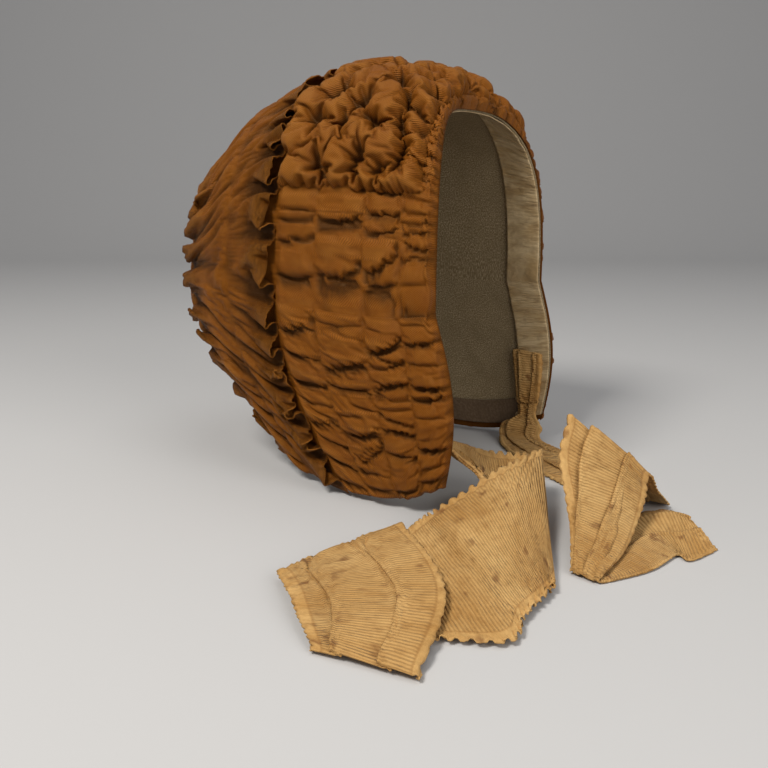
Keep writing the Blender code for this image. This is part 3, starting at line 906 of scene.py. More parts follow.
@dataclass(frozen=True)
class GatheredCloth:
    """Cloth with more length than the room it is sewn into, let settle into folds.

    The grid's threads keep their flat length, its stitched points stay where they
    are, and nothing passes below the wadding or above a pressed height.
    """

    steps: int = 60
    rounds: int = 3
    bend: float = 0.35
    fold: float = 0.80
    cap: float = 0.010
    least: float = 0.0
    puff: float = 0.0

    def settle(self, start: Array, base: Array, normal: Array, down: Array, across: Array,
               held: Array, pull: float = 0.0) -> Array:
        """Settle the cloth.

        Args:
            start: first places of its points, indexed by row and column.
            base: points of the wadding under them.
            normal: straight out of the wadding at each point.
            down: flat lengths between rows.
            across: flat lengths between columns.
            held: 1 where the cloth is stitched, 0 where it is free.
            pull: share of its way back to the start that each step takes.

        Returns:
            The settled points.
        """
        place, last = start.copy(), start.copy()
        free = 1.0 - held
        slant = np.hypot(down[:, :-1], across[:-1, :])
        links = ((1, 0, down, 1.0, False), (0, 1, across, 1.0, False),
                 (1, 1, slant, 0.25, False), (1, -1, slant, 0.25, False),
                 (2, 0, (down[:-1] + down[1:]) * self.fold, self.bend, True),
                 (3, 0, (down[:-2] + down[1:-1] + down[2:]) * self.fold * 0.82,
                  self.bend * 0.7, True),
                 (0, 2, (across[:, :-1] + across[:, 1:]) * 0.93, self.bend, True))
        for _ in range(self.steps):
            speed = (place - last) * 0.86
            last = place.copy()
            place = place + (speed + normal * self.puff) * free[..., None]
            place += (start - place) * (pull * free)[..., None]
            for _ in range(self.rounds):
                for link in links:
                    self.tighten(place, free, *link)
                height = ((place - base) * normal).sum(-1)
                wrong = (np.minimum(height - self.least, 0.0)
                         + 0.5 * np.maximum(height - self.cap, 0.0))
                place -= normal * (wrong * free)[..., None]
        return place

    @staticmethod
    def tighten(place: Array, free: Array, rows: int, columns: int, rest: Array, share: float,
                only_short: bool) -> None:
        """Bring one family of threads towards their length.

        Args:
            place: the points, changed in place.
            free: how freely each point moves.
            rows: rows from one end of a thread to the other.
            columns: columns from one end to the other.
            rest: the threads' lengths.
            share: part of the error put right.
            only_short: whether long threads are left alone.
        """
        high, wide = place.shape[:2]
        first_rows, last_rows = slice(0, high - rows), slice(rows, high)
        first_columns, last_columns = slice(0, wide - columns), slice(columns, wide)
        if columns < 0:
            first_columns, last_columns = slice(-columns, wide), slice(0, wide + columns)
        for turn in (0, 1):
            one, two = place[first_rows, first_columns], place[last_rows, last_columns]
            apart = two - one
            length = np.sqrt((apart * apart).sum(-1)) + 1e-12
            error = (length - rest) / length
            if only_short:
                error = np.minimum(error, 0.0)
            order = (np.arange(length.shape[0])[:, None] // rows if rows
                     else np.arange(length.shape[1]) // columns)
            chosen = np.broadcast_to(order % 2 == turn, length.shape)
            one_free, two_free = free[first_rows, first_columns], free[last_rows, last_columns]
            give = np.maximum(one_free + two_free, 1e-6)
            move = (share * error * chosen / give)[..., None] * apart
            place[first_rows, first_columns] += move * one_free[..., None]
            place[last_rows, last_columns] -= move * two_free[..., None]


def lengths(points: Array) -> tuple[Array, Array]:
    """Distances between the rows of a grid and between its columns."""
    return tuple(np.linalg.norm(np.diff(points, axis=axis), axis=2) for axis in (0, 1))


def flat_places(down: Array, across: Array) -> Array:
    """Lay the cloth flat.

    Args:
        down: lengths between rows.
        across: lengths between columns.

    Returns:
        Places on the flat cloth in metres, counted along from the middle row.
    """
    rows, columns = across.shape[0], down.shape[1]
    along = np.zeros((rows, columns))
    along[1:] = np.cumsum(down, axis=0)
    wide = np.zeros((rows, columns))
    wide[:, 1:] = np.cumsum(across, axis=1)
    along -= along[rows // 2][None, :]
    return np.stack([wide, along], -1)


def softened(value: Array, rows: int, columns: int) -> Array:
    """Average a grid of numbers over a window.

    Args:
        value: the grid.
        rows: rows to each side of a point.
        columns: columns to each side of it.

    Returns:
        The averaged grid.
    """
    for axis, size in ((0, rows), (1, columns)):
        pad = [(0, 0), (0, 0)]
        pad[axis] = (size + 1, size)
        run = np.cumsum(np.pad(value, pad, mode="edge"), axis=axis)
        width = 2 * size + 1
        high = np.take(run, range(width, run.shape[axis]), axis=axis)
        low = np.take(run, range(0, run.shape[axis] - width), axis=axis)
        value = (high - low) / width
    return value


def proud(height: Array, rows: int, columns: int, span: float) -> Array:
    """How far each point stands proud of the cloth around it, for the silk's painted shade and
    highlight.

    Args:
        height: metres out of the wadding.
        rows: rows to each side that it is set against.
        columns: columns to each side.
        span: metres from the deepest painted shade in a fold to the lightest ridge, partly worn
            and partly a painted highlight.

    Returns:
        0.5 where level, less in folds and more on ridges.
    """
    near = softened(height, max(rows // 3, 1), max(columns // 3, 1))
    wide = softened(softened(height, rows, columns), rows, columns)
    return np.clip(0.5 + (0.5 * (height + near) - wide) / span, 0.0, 1.1)


def refined(points: Array, rows: int, columns: int) -> Array:
    """Add rows and columns smoothly between the old ones.

    Args:
        points: the grid.
        rows: new rows to each old one.
        columns: new columns to each old one.

    Returns:
        The finer grid.
    """
    for axis, times in ((0, rows), (1, columns)):
        if times > 1:
            count = points.shape[axis]
            moved = np.moveaxis(points, axis, 0)
            shape = moved.shape[1:]
            table = np.concatenate([np.arange(count)[:, None], moved.reshape(count, -1)], 1)
            place = np.linspace(0.0, count - 1.0, (count - 1) * times + 1)
            points = np.moveaxis(hermite(table, place).reshape(-1, *shape), 0, axis)
    return points


@dataclass
class FrontSection:
    """The wadded front of the hood with its shirred silk."""

    columns: int = 132
    rows: int = 600
    stitched: tuple[int, ...] = (38, 72, 100)
    last_stitched: int = 128
    seam: float = 0.68
    edge: float = 0.0042
    side: float = 0.30
    tuck: float = 0.0015
    gather: float = 1.06
    edge_wave: float = 0.0016
    edge_notch: float = 0.0034
    edge_reach: float = 0.007
    foot_wave: float = 0.0014
    foot_reach: float = 0.008
    silk: ShirredSilk = field(default_factory=ShirredSilk)

    def build(self, finish: bpy.types.Material) -> bpy.types.Object:
        """Make the piece.

        Args:
            finish: its material.

        Returns:
            The dressed piece.
        """
        knots = (*self.silk.stitches, self.seam)
        shares = (0, *self.stitched, self.last_stitched, self.columns)
        back = np.interp(np.arange(self.columns + 1), shares, knots)
        around = np.linspace(-1.0, 1.0, self.rows + 1)[:, None]
        around = np.repeat(around, self.columns + 1, axis=1)
        lift, slip, high = self.silk.relief(back, around)
        backs = np.broadcast_to(back, around.shape)
        cover = fade(backs, 0.585, 0.625)
        under = (1.0 - fade(np.abs(around), 0.33, 0.40)) * fade(backs, 0.05, 0.09)
        cover = np.maximum(cover, under)
        lift = lift * (1.0 - cover) - self.tuck * cover
        slip = slip * (1.0 - cover)
        wave = soft_noise(around * 46.0, backs * 0.0 + 3.0, 91)
        notch = 1.0 - np.clip(high[:, 8:9], 0.0, 1.0)
        swing = ((self.edge_wave * wave + self.edge_notch * notch)
                 * np.exp(-backs * FORM.depth / self.edge_reach))
        foot_wave = self.foot_wave * soft_noise(backs * 34.0, around * 0.0 + 5.0, 92)
        slip = slip + (foot_wave * np.sign(around)
                       * np.exp(-(1.0 - np.abs(around)) * self.side / self.foot_reach))
        reach = np.minimum(backs * FORM.depth, (1.0 - np.abs(around)) * self.side)
        rolled = np.clip(reach / self.edge, 0.0, 1.0)
        rolled = np.sqrt(np.clip(1.0 - (1.0 - rolled) ** 2, 0.0, 1.0))
        start = FORM.point(backs, around, lift, swing, slip)
        base = FORM.point(backs, around, np.zeros_like(around))
        normal = FORM.directions(backs, around)[2]
        held = np.maximum(cover, 1.0 - np.clip(reach / 0.0035, 0.0, 1.0))
        for column in self.stitched:
            held[:, column] = 1.0
            sewn = 0.0011 + 0.0006 * soft_noise(around * 120.0, backs * 0.0 + column, 93)
            sewn = sewn * (1.0 - cover) - self.tuck * cover
            start[:, column] = FORM.point(backs, around, sewn)[:, column]
        (down, across), (least_down, least_across) = lengths(start), lengths(base)
        down = np.maximum(down * 1.015, least_down * self.gather)
        across = np.maximum(across * 1.01, least_across * 1.02)
        even = np.broadcast_to(down.mean(1)[:, None], down.shape)
        settled = GatheredCloth(
            steps=14, cap=0.0068, least=-0.0012, fold=0.66, bend=0.30,
        ).settle(start, base, normal, down, across, held)
        height = ((settled - base) * normal).sum(-1)
        sunk = FORM.wall * 0.85
        outer = settled + normal * ((1.0 - rolled) * (-sunk - height))[..., None]
        inner = FORM.point(backs, around, np.full_like(lift, -FORM.wall))
        piece = ClothGrid("front_section", self.columns, self.rows).build(
            outer, flat_places(even, across), proud(height, 9, 1, 0.0036), inner)
        settle(piece, finish, ["front_section"])
        return piece


@dataclass
class BackSection:
    """The back of the hood, gathered to the centre back seam."""

    columns: int = 64
    rows: int = 340
    start: float = 0.6845
    side: float = 0.30
    foot_edge: float = 0.004
    gather: float = 1.22

    def build(self, finish: bpy.types.Material) -> bpy.types.Object:
        """Make the piece.

        Args:
            finish: its material.

        Returns:
            The dressed piece.
        """
        back = np.linspace(self.start, 1.0, self.columns + 1)
        around = np.linspace(-1.0, 1.0, self.rows + 1)
        backs, arounds = np.meshgrid(back, around)
        bare = fade(backs, 0.86, 0.90)
        close = fade(backs, 0.955, 1.0)
        foot = np.clip((1.0 - np.abs(arounds)) * self.side / self.foot_edge, 0.0, 1.0)
        rolled = np.sqrt(np.clip(1.0 - (1.0 - foot) ** 2, 0.0, 1.0))
        fold = soft_noise(arounds * 30.0, backs * 4.0, 7)
        base = FORM.point(backs, arounds, np.zeros_like(backs))
        normal = FORM.directions(backs, arounds)[2]
        lift = -0.0015 + bare * (0.0016 + 0.0012 * fold) * (1.0 - close)
        start = FORM.point(backs, arounds, lift)
        down, across = lengths(base)
        down = np.maximum(down, down[:, self.columns * 2 // 3][:, None] * 0.5) * self.gather
        held = np.maximum(np.maximum(1.0 - bare, close), 1.0 - foot)
        settled = GatheredCloth(steps=36, cap=0.0045, least=-0.0016).settle(
            start, base, normal, down, across * 1.03, held)
        height = ((settled - base) * normal).sum(-1)
        outer = settled + normal * ((1.0 - rolled) * (-FORM.wall * 0.85 - height))[..., None]
        outer[:, -1, 0] = 0.0
        inner = FORM.point(backs, arounds, np.full_like(backs, -FORM.wall))
        piece = ClothGrid("back_section", self.columns, self.rows).build(
            outer, flat_places(down, across), proud(height, 8, 5, 0.0042), inner)
        settle(piece, finish, ["back_section"])
        return piece


@dataclass
class RuffleBand:
    """The ruched band over the seam, stitched down its middle and free at both edges."""

    columns: int = 28
    rows: int = 620
    stitch: float = 0.745
    front: float = 0.625
    crown_inset: float = 0.012
    back: float = 0.875
    gather: float = 1.13
    curls: float = 29.0
    stand: float = 0.0043
    sway: float = 0.0074
    wall: float = 0.0007
    seed: int = 3

    def build(self, finish: bpy.types.Material) -> bpy.types.Object:
        """Make the piece.

        Args:
            finish: its material.

        Returns:
            The dressed piece.
        """
        s, v = np.meshgrid(np.linspace(-1.0, 1.0, self.columns + 1),
                           np.linspace(-1.0, 1.0, self.rows + 1))
        free = np.abs(s)
        front_edge = self.front + self.crown_inset * (1.0 - fade(np.abs(v), 0.10, 0.45))
        reach = np.where(s < 0.0, self.stitch - front_edge, self.back - self.stitch)
        back = self.stitch + s * reach
        half = np.where(s < 0.0, 0.0, 17.0)
        drift = soft_noise(v * 9.0 + half, s * 0.5, self.seed)
        phase = math.pi * self.curls * v + 2.6 * drift + half
        size = free ** 2 * (1.0 + 0.45 * soft_noise(v * 13.0 + half, s * 0.0, self.seed + 3))
        small = soft_noise(v * 40.0 + half, s * 2.4, self.seed + 1)
        swing = self.sway * size * np.cos(phase + 0.7 * np.sin(phase))
        base = FORM.point(back, v, np.zeros_like(v))
        normal = FORM.directions(back, v)[2]
        lift = 0.0014 + 0.0010 * small + self.stand * size * (1.0 + np.sin(phase))
        start = FORM.point(back, v, lift, swing)
        down, across = lengths(base)
        down = np.maximum(lengths(start)[0] * 1.05, down * self.gather)
        across = across * 1.10
        held = np.where(free < 0.03, 1.0, 0.0)
        held[0, :] = held[-1, :] = 1.0
        settled = GatheredCloth(steps=26, cap=0.0105, least=0.0002, fold=0.80, bend=0.4).settle(
            start, base, normal, down, across, held)
        height = ((settled - base) * normal).sum(-1)
        points = refined(settled - normal * 0.0006, 1, 2)
        cloth = refined(flat_places(down, across), 1, 2)
        # The relief paints shade in the folds and highlight on the ridges; both free edges are
        # raised in it as a painted highlight line.
        worn = proud(height, 8, 5, 0.0048) + 0.45 * fade(free, 0.93, 1.0)
        relief = refined(worn[..., None], 1, 2)[..., 0]
        piece = ClothGrid("ruffle_band", self.columns * 2, self.rows).build(points, cloth, relief)
        give_wall(piece, self.wall)
        settle(piece, finish, ["ruffle_band"])
        return piece


@dataclass
class CrownRuching:
    """The criss-cross puffs sewn over the crown."""

    columns: int = 112
    rows: int = 240
    front: float = 0.050
    back: float = 0.610
    reach: float = 0.425
    half_width: float = 74.0
    half_length: float = 140.0
    gather: float = 1.64
    spacing: float = 30.0
    jitter: float = 5.5
    seed: int = 23

    def tacks(self, x: Array, y: Array) -> tuple[Array, Array]:
        """Where the silk is sewn down, and how high it starts.

        Args:
            x: millimetres from the middle towards the back.
            y: millimetres from the middle towards the left.

        Returns:
            1 at the tacks and 0 elsewhere, and a first height from 0 to 1.
        """
        random = np.random.default_rng(self.seed)
        held, height = np.zeros_like(x), np.ones_like(x)
        for row in range(-7, 8):
            for column in range(-4, 5):
                cx = (column + 0.5 * (row % 2)) * self.spacing + random.normal(0.0, self.jitter)
                cy = row * self.spacing * 0.80 + random.normal(0.0, self.jitter)
                turn = random.choice([-1.0, 1.0]) * math.radians(random.uniform(20.0, 70.0))
                long = random.uniform(1.5, 8.5)
                u = (x - cx) * math.cos(turn) + (y - cy) * math.sin(turn)
                w = (y - cy) * math.cos(turn) - (x - cx) * math.sin(turn)
                away = np.hypot(np.maximum(np.abs(u) - long, 0.0), w)
                held = np.maximum(held, 1.0 - fade(away, 0.9, 1.7))
                height = np.minimum(height, fade(away, 0.0, 7.0))
        return held, height

    def build(self, finish: bpy.types.Material) -> bpy.types.Object:
        """Make the piece.

        Args:
            finish: its material.

        Returns:
            The dressed piece.
        """
        across_share, along_share = np.meshgrid(np.linspace(-1.0, 1.0, self.columns + 1),
                                                np.linspace(-1.0, 1.0, self.rows + 1))
        x, y = across_share * self.half_width, along_share * self.half_length
        held, first = self.tacks(x, y)
        middle, half = (self.front + self.back) / 2.0, (self.back - self.front) / 2.0
        ragged = soft_noise(along_share * 9.0, across_share * 0.0, self.seed + 4)
        ragged = 0.012 * ragged * across_share ** 4
        backs, arounds = middle + across_share * half + ragged, along_share * self.reach
        rim = np.minimum(1.0 - np.abs(across_share), (1.0 - np.abs(along_share)) * 1.9)
        held = np.maximum(held, 1.0 - fade(rim, 0.0, 0.02))
        folds = 1.0 - np.abs(soft_noise(x / 9.0 + 5.0, y / 13.0, self.seed + 1)) * 1.6
        cross = 1.0 - np.abs(soft_noise((x + y) / 12.0, (x - y) / 22.0, self.seed + 2)) * 1.6
        base = FORM.point(backs, arounds, np.zeros_like(backs))
        normal = FORM.directions(backs, arounds)[2]
        rise = 0.0010 + 0.0042 * first * (0.7 + 0.5 * np.maximum(folds, cross))
        start = FORM.point(backs, arounds, rise * fade(rim, 0.0, 0.10))
        down, across = lengths(base)
        down, across = down * self.gather, across * (self.gather * 0.92)
        settled = GatheredCloth(
            steps=60, cap=0.0150, least=0.0002, fold=0.71, bend=0.25, puff=0.00003,
        ).settle(start, base, normal, down, across, held)
        height = ((settled - base) * normal).sum(-1)
        outer = settled - normal * 0.0010
        inner = FORM.point(backs, arounds, np.full_like(backs, -0.0012))
        piece = ClothGrid("top_ruching", self.columns, self.rows).build(
            outer, flat_places(down, across), proud(height, 6, 6, 0.0075), inner)
        settle(piece, finish, ["top_ruching"])
        return piece


@dataclass
class InnerSkins:
    """The wool lining and the two facings inside the hood."""

    lining_lift: float = -0.0059
    facing_lift: float = -0.0076
    foot: float = 0.985
    facing_width: float = 0.028
    facing_inset: float = 0.015
    facing_wall: float = 0.0008
    neck_width: float = 0.024
    neck_front: float = 0.16
    half_round: float = 0.34

    def lining(self, finish: bpy.types.Material) -> bpy.types.Object:
        """Make the lining.

        Args:
            finish: its material.

        Returns:
            The dressed piece.
        """
        columns, rows = 64, 200
        backs, arounds = np.meshgrid(np.linspace(0.012, 1.0, columns + 1),
                                     np.linspace(-self.foot, self.foot, rows + 1))
        bumps = 0.00025 * soft_noise(backs * 40.0, arounds * 50.0, 71)
        points = FORM.point(backs, arounds, self.lining_lift + bumps)
        cloth = np.stack([backs * FORM.depth, arounds * self.half_round], -1)
        piece = ClothGrid("lining", columns, rows).build(points, cloth)
        give_wall(piece, FORM.lining_wall)
        settle(piece, finish, ["lining"])
        return piece

    def front_facing(self, finish: bpy.types.Material) -> bpy.types.Object:
        """Make the satin facing inside the face edge.

        Args:
            finish: its material.

        Returns:
            The dressed piece.
        """
        columns, rows = 24, 360
        width, around = np.meshgrid(np.linspace(0.0, 1.0, columns + 1),
                                    np.linspace(-self.foot, self.foot, rows + 1))
        shares = np.linspace(0.0, 0.45, 91)
        run = np.zeros((rows + 1, len(shares)))
        line = FORM.outline(shares[None, :], around[:, :1])
        run[:, 1:] = np.cumsum(np.linalg.norm(np.diff(line, axis=1), axis=2), axis=1)
        backs = np.stack([np.interp(np.interp(self.facing_inset, shares, own)
                                    + self.facing_width * part, own, shares)
                          for own, part in zip(run, width)])
        ripple = 0.0004 * soft_noise(around * 40.0, width * 1.5, 72)
        points = FORM.point(backs, around, self.facing_lift + ripple)
        cloth = np.stack([width * self.facing_width, around * self.half_round], -1)
        piece = ClothGrid("front_facing", columns, rows).build(points, cloth)
        give_wall(piece, self.facing_wall)
        settle(piece, finish, ["front_facing"])
        return piece

    def neck_facing(self, finish: bpy.types.Material) -> bpy.types.Object:
        """Make the silk band inside the neck edge.

        Args:
            finish: its material.

        Returns:
            The dressed piece.
        """
        columns, rows = 16, 240
        run = np.linspace(-1.0, 1.0, rows + 1)
        side = np.where(run < 0.0, -1.0, 1.0)
        backs = self.neck_front + (1.0 - self.neck_front) * (1.0 - np.abs(run))
        values = hermite(np.array(FORM.table), backs)
        low, high = values[:, 7] * FORM.height, values[:, 3] * FORM.height
        top = 1.0 - FORM.limb * (self.neck_width / (high - low))
        up = np.linspace(0.0, 1.0, columns + 1)
        around = side[:, None] * (self.foot + (top[:, None] - self.foot) * up[None, :])
        grid_back = np.broadcast_to(backs[:, None], around.shape)
        ripple = 0.0003 * soft_noise(grid_back * 30.0, around * 30.0, 73)
        points = FORM.point(grid_back, around, self.facing_lift + ripple)
        cloth = np.stack([np.broadcast_to(up * self.neck_width, around.shape),
                          np.broadcast_to(run[:, None] * 0.25, around.shape)], -1)
        piece = ClothGrid("neck_facing", columns, rows).build(points, cloth)
        give_wall(piece, self.facing_wall)
        settle(piece, finish, ["neck_facing"])
        return piece


class Bend(NamedTuple):
    """One row of a ribbon: its back edge, its front edge and its arch, in ninths of its width."""

    back_x: float
    back_y: float
    back_z: float
    front_x: float
    front_y: float
    front_z: float
    arch: float


RIGHT_BENDS = (
    Bend(0.4, 2.2, 4.6, 0.5, -0.4, 3.9, 0.0),
    Bend(1.8, 1.4, 4.2, 0.9, -1.9, 2.6, 0.0),
    Bend(3.4, 0.6, 3.6, -1.2, -4.2, 1.1, 0.0),
    Bend(5.0, -0.8, 3.1, -4.2, -6.4, 0.35, -0.6),
    Bend(5.8, -2.6, 3.1, -5.8, -8.4, 0.22, -0.5),
    Bend(6.2, -3.7, 3.1, -6.8, -9.6, 0.20, -0.4),
    Bend(6.1, -3.8, 3.5, -6.9, -9.7, 0.55, -0.2),
    Bend(1.6, -2.3, 3.0, -8.3, -9.9, 0.45, 0.2),
    Bend(-2.9, -0.4, 1.7, -11.1, -9.7, 0.40, 0.3),
    Bend(-4.1, 0.3, 1.0, -13.7, -9.9, 0.35, 0.2),
    Bend(-7.6, 0.8, 0.35, -15.2, -6.7, 0.30, 0.0),
    Bend(-12.1, 1.0, 0.20, -17.0, -5.2, 0.20, 0.0),
    Bend(-18.3, -1.4, 0.15, -17.8, -7.0, 0.15, 0.0),
    Bend(-18.6, -1.5, 0.50, -18.1, -7.2, 0.50, 0.0),
    Bend(-16.6, 1.0, 0.75, -11.6, -5.3, 1.10, 0.1),
    Bend(-13.7, 4.2, 0.55, -5.6, 0.6, 1.40, 0.1),
)
LEFT_BENDS = (
    Bend(-0.35, 3.35, 1.30, -0.30, 0.0, 1.30, 0.0),
    Bend(-1.2, 3.2, 0.40, -0.9, -0.3, 0.40, 0.0),
    Bend(-3.2, 2.0, 0.10, -2.4, -4.0, 0.10, 0.0),
    Bend(-7.4, -2.8, 0.10, -4.6, -9.2, 0.10, 0.0),
    Bend(-9.8, -6.1, 0.15, -9.0, -12.4, 0.15, 0.0),
    Bend(-12.6, -6.5, 3.8, -11.6, -12.2, 1.9, 0.0),
    Bend(-14.7, -6.8, 6.9, -12.7, -12.0, 3.2, 0.2),
    Bend(-15.3, -7.0, 6.9, -13.3, -11.8, 3.25, 0.2),
    Bend(-16.9, -7.1, 5.0, -14.0, -11.9, 2.4, 0.3),
    Bend(-18.4, -8.1, 3.0, -15.8, -11.8, 1.3, 0.2),
    Bend(-20.0, -9.1, 1.5, -19.2, -11.8, 0.65, 0.1),
    Bend(-21.8, -9.8, 0.60, -22.2, -11.6, 0.50, 0.0),
    Bend(-22.0, -9.9, 0.12, -22.4, -11.7, 0.10, 0.0),
    Bend(-17.9, -9.6, 0.10, -19.4, -13.7, 0.10, 0.0),
    Bend(-13.4, -10.4, 0.25, -16.9, -14.6, 0.15, 0.0),
    Bend(-11.4, -12.6, 0.70, -17.2, -15.5, 0.12, 0.0),
    Bend(-12.6, -14.4, 0.75, -14.6, -16.4, 0.12, 0.0),
)


# How much cloth a row gathers, and the steepness of sheared waves that hold it.
STEEPNESS = ((1.0, 0.0), (1.06, 0.9), (1.225, 1.6), (1.548, 2.2), (1.897, 2.8), (2.4, 3.7))


@dataclass
class RibbonTie:
    """One grosgrain tie, pleated inside a cheek and lying loose at its other end."""

    name: str
    side: Side
    bends: tuple[Bend, ...]
    drops: tuple[float, ...]
    flat: tuple[float, float]
    slot: str
    width: float = 0.090
    pleated: float = 0.044
    attach_rise: float = 0.075
    front_share: float = 0.055
    wall: float = 0.0007
    depth: float = 0.0087
    pleat_turn: float = 0.93
    clear: float = 0.0016
    columns: int = 44
    steps: int = 30
    tooth: float = 0.0062
    bite: float = 0.0030
    fray: float = 0.0004
    grip: float = 0.06
    tooth_shift: int = 7
    lowest: float = 0.00045
    waves: float = 2.3
    most_gather: float = 2.4
    most_move: float = 0.0035
    fold_rise: float = 0.0016
    seed: int = 3

    def rows(self) -> Array:
        """Work out the ribbon's rows.

        Returns:
            A row's number, its back edge, its front edge and its arch, in metres over the table.
        """
        found = []
        table = np.array(FORM.table)
        for drop in self.drops:
            rise = self.attach_rise * (1.0 - drop)
            places = []
            pleat = self.pleated / FORM.depth * self.pleat_turn
            for share in (self.front_share, self.front_share + pleat):
                values = hermite(table, np.array([share]))[0]
                low, high = values[7] * FORM.height, values[3] * FORM.height
                down = 1.0 - FORM.limb * (rise - low) / (high - low)
                point = FORM.point(np.array([share]), np.array([self.side.value * down]),
                                   np.array([-self.depth]))[0] + FORM.seat()
                places.append(point)
            found.append([*places[1], *places[0], 0.0])
        ninth = self.width / 9.0
        inside = FORM.wall + FORM.lining_gap + FORM.lining_wall + self.clear
        corner = FORM.point(np.array([0.0]), np.array([self.side.value]), np.array([-inside]))
        foot = (corner[0] + FORM.seat())[0]
        for bend in self.bends:
            values = np.array(bend) * ninth
            values[[0, 3]] += foot
            found.append(list(values))
        return np.array([[number, *row] for number, row in enumerate(found)])

    def gathers(self, row: Array, middle: Array, u: Array, v: Array, flatness: Array) -> Array:
        """Lengthwise folds that take up the width a narrow row can't show.

        Args:
            row: vectors from the back edge to the front edge, one for each row.
            middle: the ribbon's centre line.
            u: shares across the ribbon.
            v: metres along it.
            flatness: 0 where it lies on the table, 1 where it stands clear.

        Returns:
            Moves of the grid's points.
        """
        size = np.linalg.norm(row, axis=-1, keepdims=True)
        lateral = row / size
        ahead = np.gradient(middle, axis=0)[:, None, :]
        normal = np.cross(ahead, lateral)
        normal /= np.maximum(np.linalg.norm(normal, axis=-1, keepdims=True), 1e-9)
        normal *= np.where(normal[..., 2:3] < 0.0, -1.0, 1.0)
        share = np.clip(self.width / size[..., 0], 1.0, self.most_gather)
        steep = np.interp(share, *zip(*STEEPNESS))
        waves = self.waves
        drift = soft_noise(v / 0.09, v * 0.0, self.seed + 5)
        phase = 2.0 * math.pi * waves * u + 1.4 * drift + v * 9.0
        held = np.sin(np.clip(u, 0.0, 1.0) * math.pi) ** 0.5
        shift = -steep / (2.0 * math.pi * waves) * size[..., 0] * np.sin(phase) * held
        tall = self.fold_rise * (0.45 + 0.55 * flatness) * np.clip(steep, 0.0, 1.6) / 1.6
        rise = tall * (1.0 + np.sin(phase)) * held
        up = np.array([0.0, 0.0, 1.0])
        out = up * (1.0 - flatness[..., None]) + normal * flatness[..., None]
        return lateral * shift[..., None] + out * rise[..., None]

    def crumpled(self, points: Array) -> Array:
        """Bring the ribbon's threads back towards their woven lengths.

        Args:
            points: points over the table.

        Returns:
            The settled points.
        """
        down, across = lengths(points)
        across = np.maximum(across, np.minimum(self.width / self.columns, across * 1.6))
        base = points * np.array([1.0, 1.0, 0.0])
        normal = np.zeros_like(points)
        normal[..., 2] = 1.0
        held = np.zeros(points.shape[:2])
        held[:2] = 1.0
        settled = GatheredCloth(
            steps=16, rounds=2, cap=0.4, least=0.0006, bend=0.5, fold=0.93,
        ).settle(points, base, normal, down, across, held, pull=0.12)
        moved = settled - points
        size = np.linalg.norm(moved, axis=-1, keepdims=True)
        return points + moved * np.minimum(1.0, self.most_move / np.maximum(size, 1e-9))

    def build(self, finish: bpy.types.Material) -> bpy.types.Object:
        """Make the piece.

        Args:
            finish: its material.

        Returns:
            The dressed piece.
        """
        rows = self.rows()
        count = (len(rows) - 1) * self.steps
        place = np.linspace(0.0, len(rows) - 1.0, count + 1)
        values = hermite(rows, place)
        back_edge, front_edge = values[:, None, 0:3], values[:, None, 3:6]
        across = np.linspace(0.0, 1.0, self.columns + 1)[None, :, None]
        middle = (values[:, 0:3] + values[:, 3:6]) / 2.0
        run = np.linalg.norm(np.diff(middle, axis=0), axis=1)
        run = np.concatenate([[0.0], np.cumsum(run)])
        edge_run = run[:, None]
        bite = np.abs(np.sin(math.pi * edge_run / self.tooth
                             + 1.3 * soft_noise(edge_run / 0.02, edge_run * 0.0, self.seed)))
        fray = soft_noise(edge_run / 0.0012, edge_run * 0.0 + 4.0, self.seed + 1)
        bite = (self.bite * (1.0 - bite ** 0.7) + self.fray * fray) / self.width
        share = across[..., 0]
        low_grip = fade(self.grip - share, 0.0, self.grip)
        high_grip = fade(share - (1.0 - self.grip), 0.0, self.grip)
        moved = bite * low_grip - np.roll(bite, self.tooth_shift, axis=0) * high_grip
        part = across + moved[..., None]
        points = back_edge * (1.0 - part) + front_edge * part
        points[..., 2] += (values[:, 6:7] * np.sin(part[..., 0] * math.pi))
        flatness = fade(points[..., 2], 0.0, 0.012)
        u, v = (np.broadcast_to(value, points.shape[:2]) for value in (share, run[:, None]))
        roll = (0.0016 * soft_noise(u * 3.2, v / 0.045, self.seed + 2)
                + 0.0008 * soft_noise(u * 7.0, v / 0.020, self.seed + 3))
        points[..., 2] += roll * (0.25 + 0.75 * flatness)
        points = points + self.gathers(front_edge - back_edge, middle, u, v, flatness)
        points[..., 2] = np.maximum(points[..., 2], self.lowest)
        points = self.crumpled(points) - FORM.seat()
        cloth = np.stack([u * self.width, v], -1)
        piece = ClothGrid(self.name, self.columns, count).build(points, cloth)
        give_wall(piece, self.wall)
        settle(piece, finish, [self.name])
        return piece


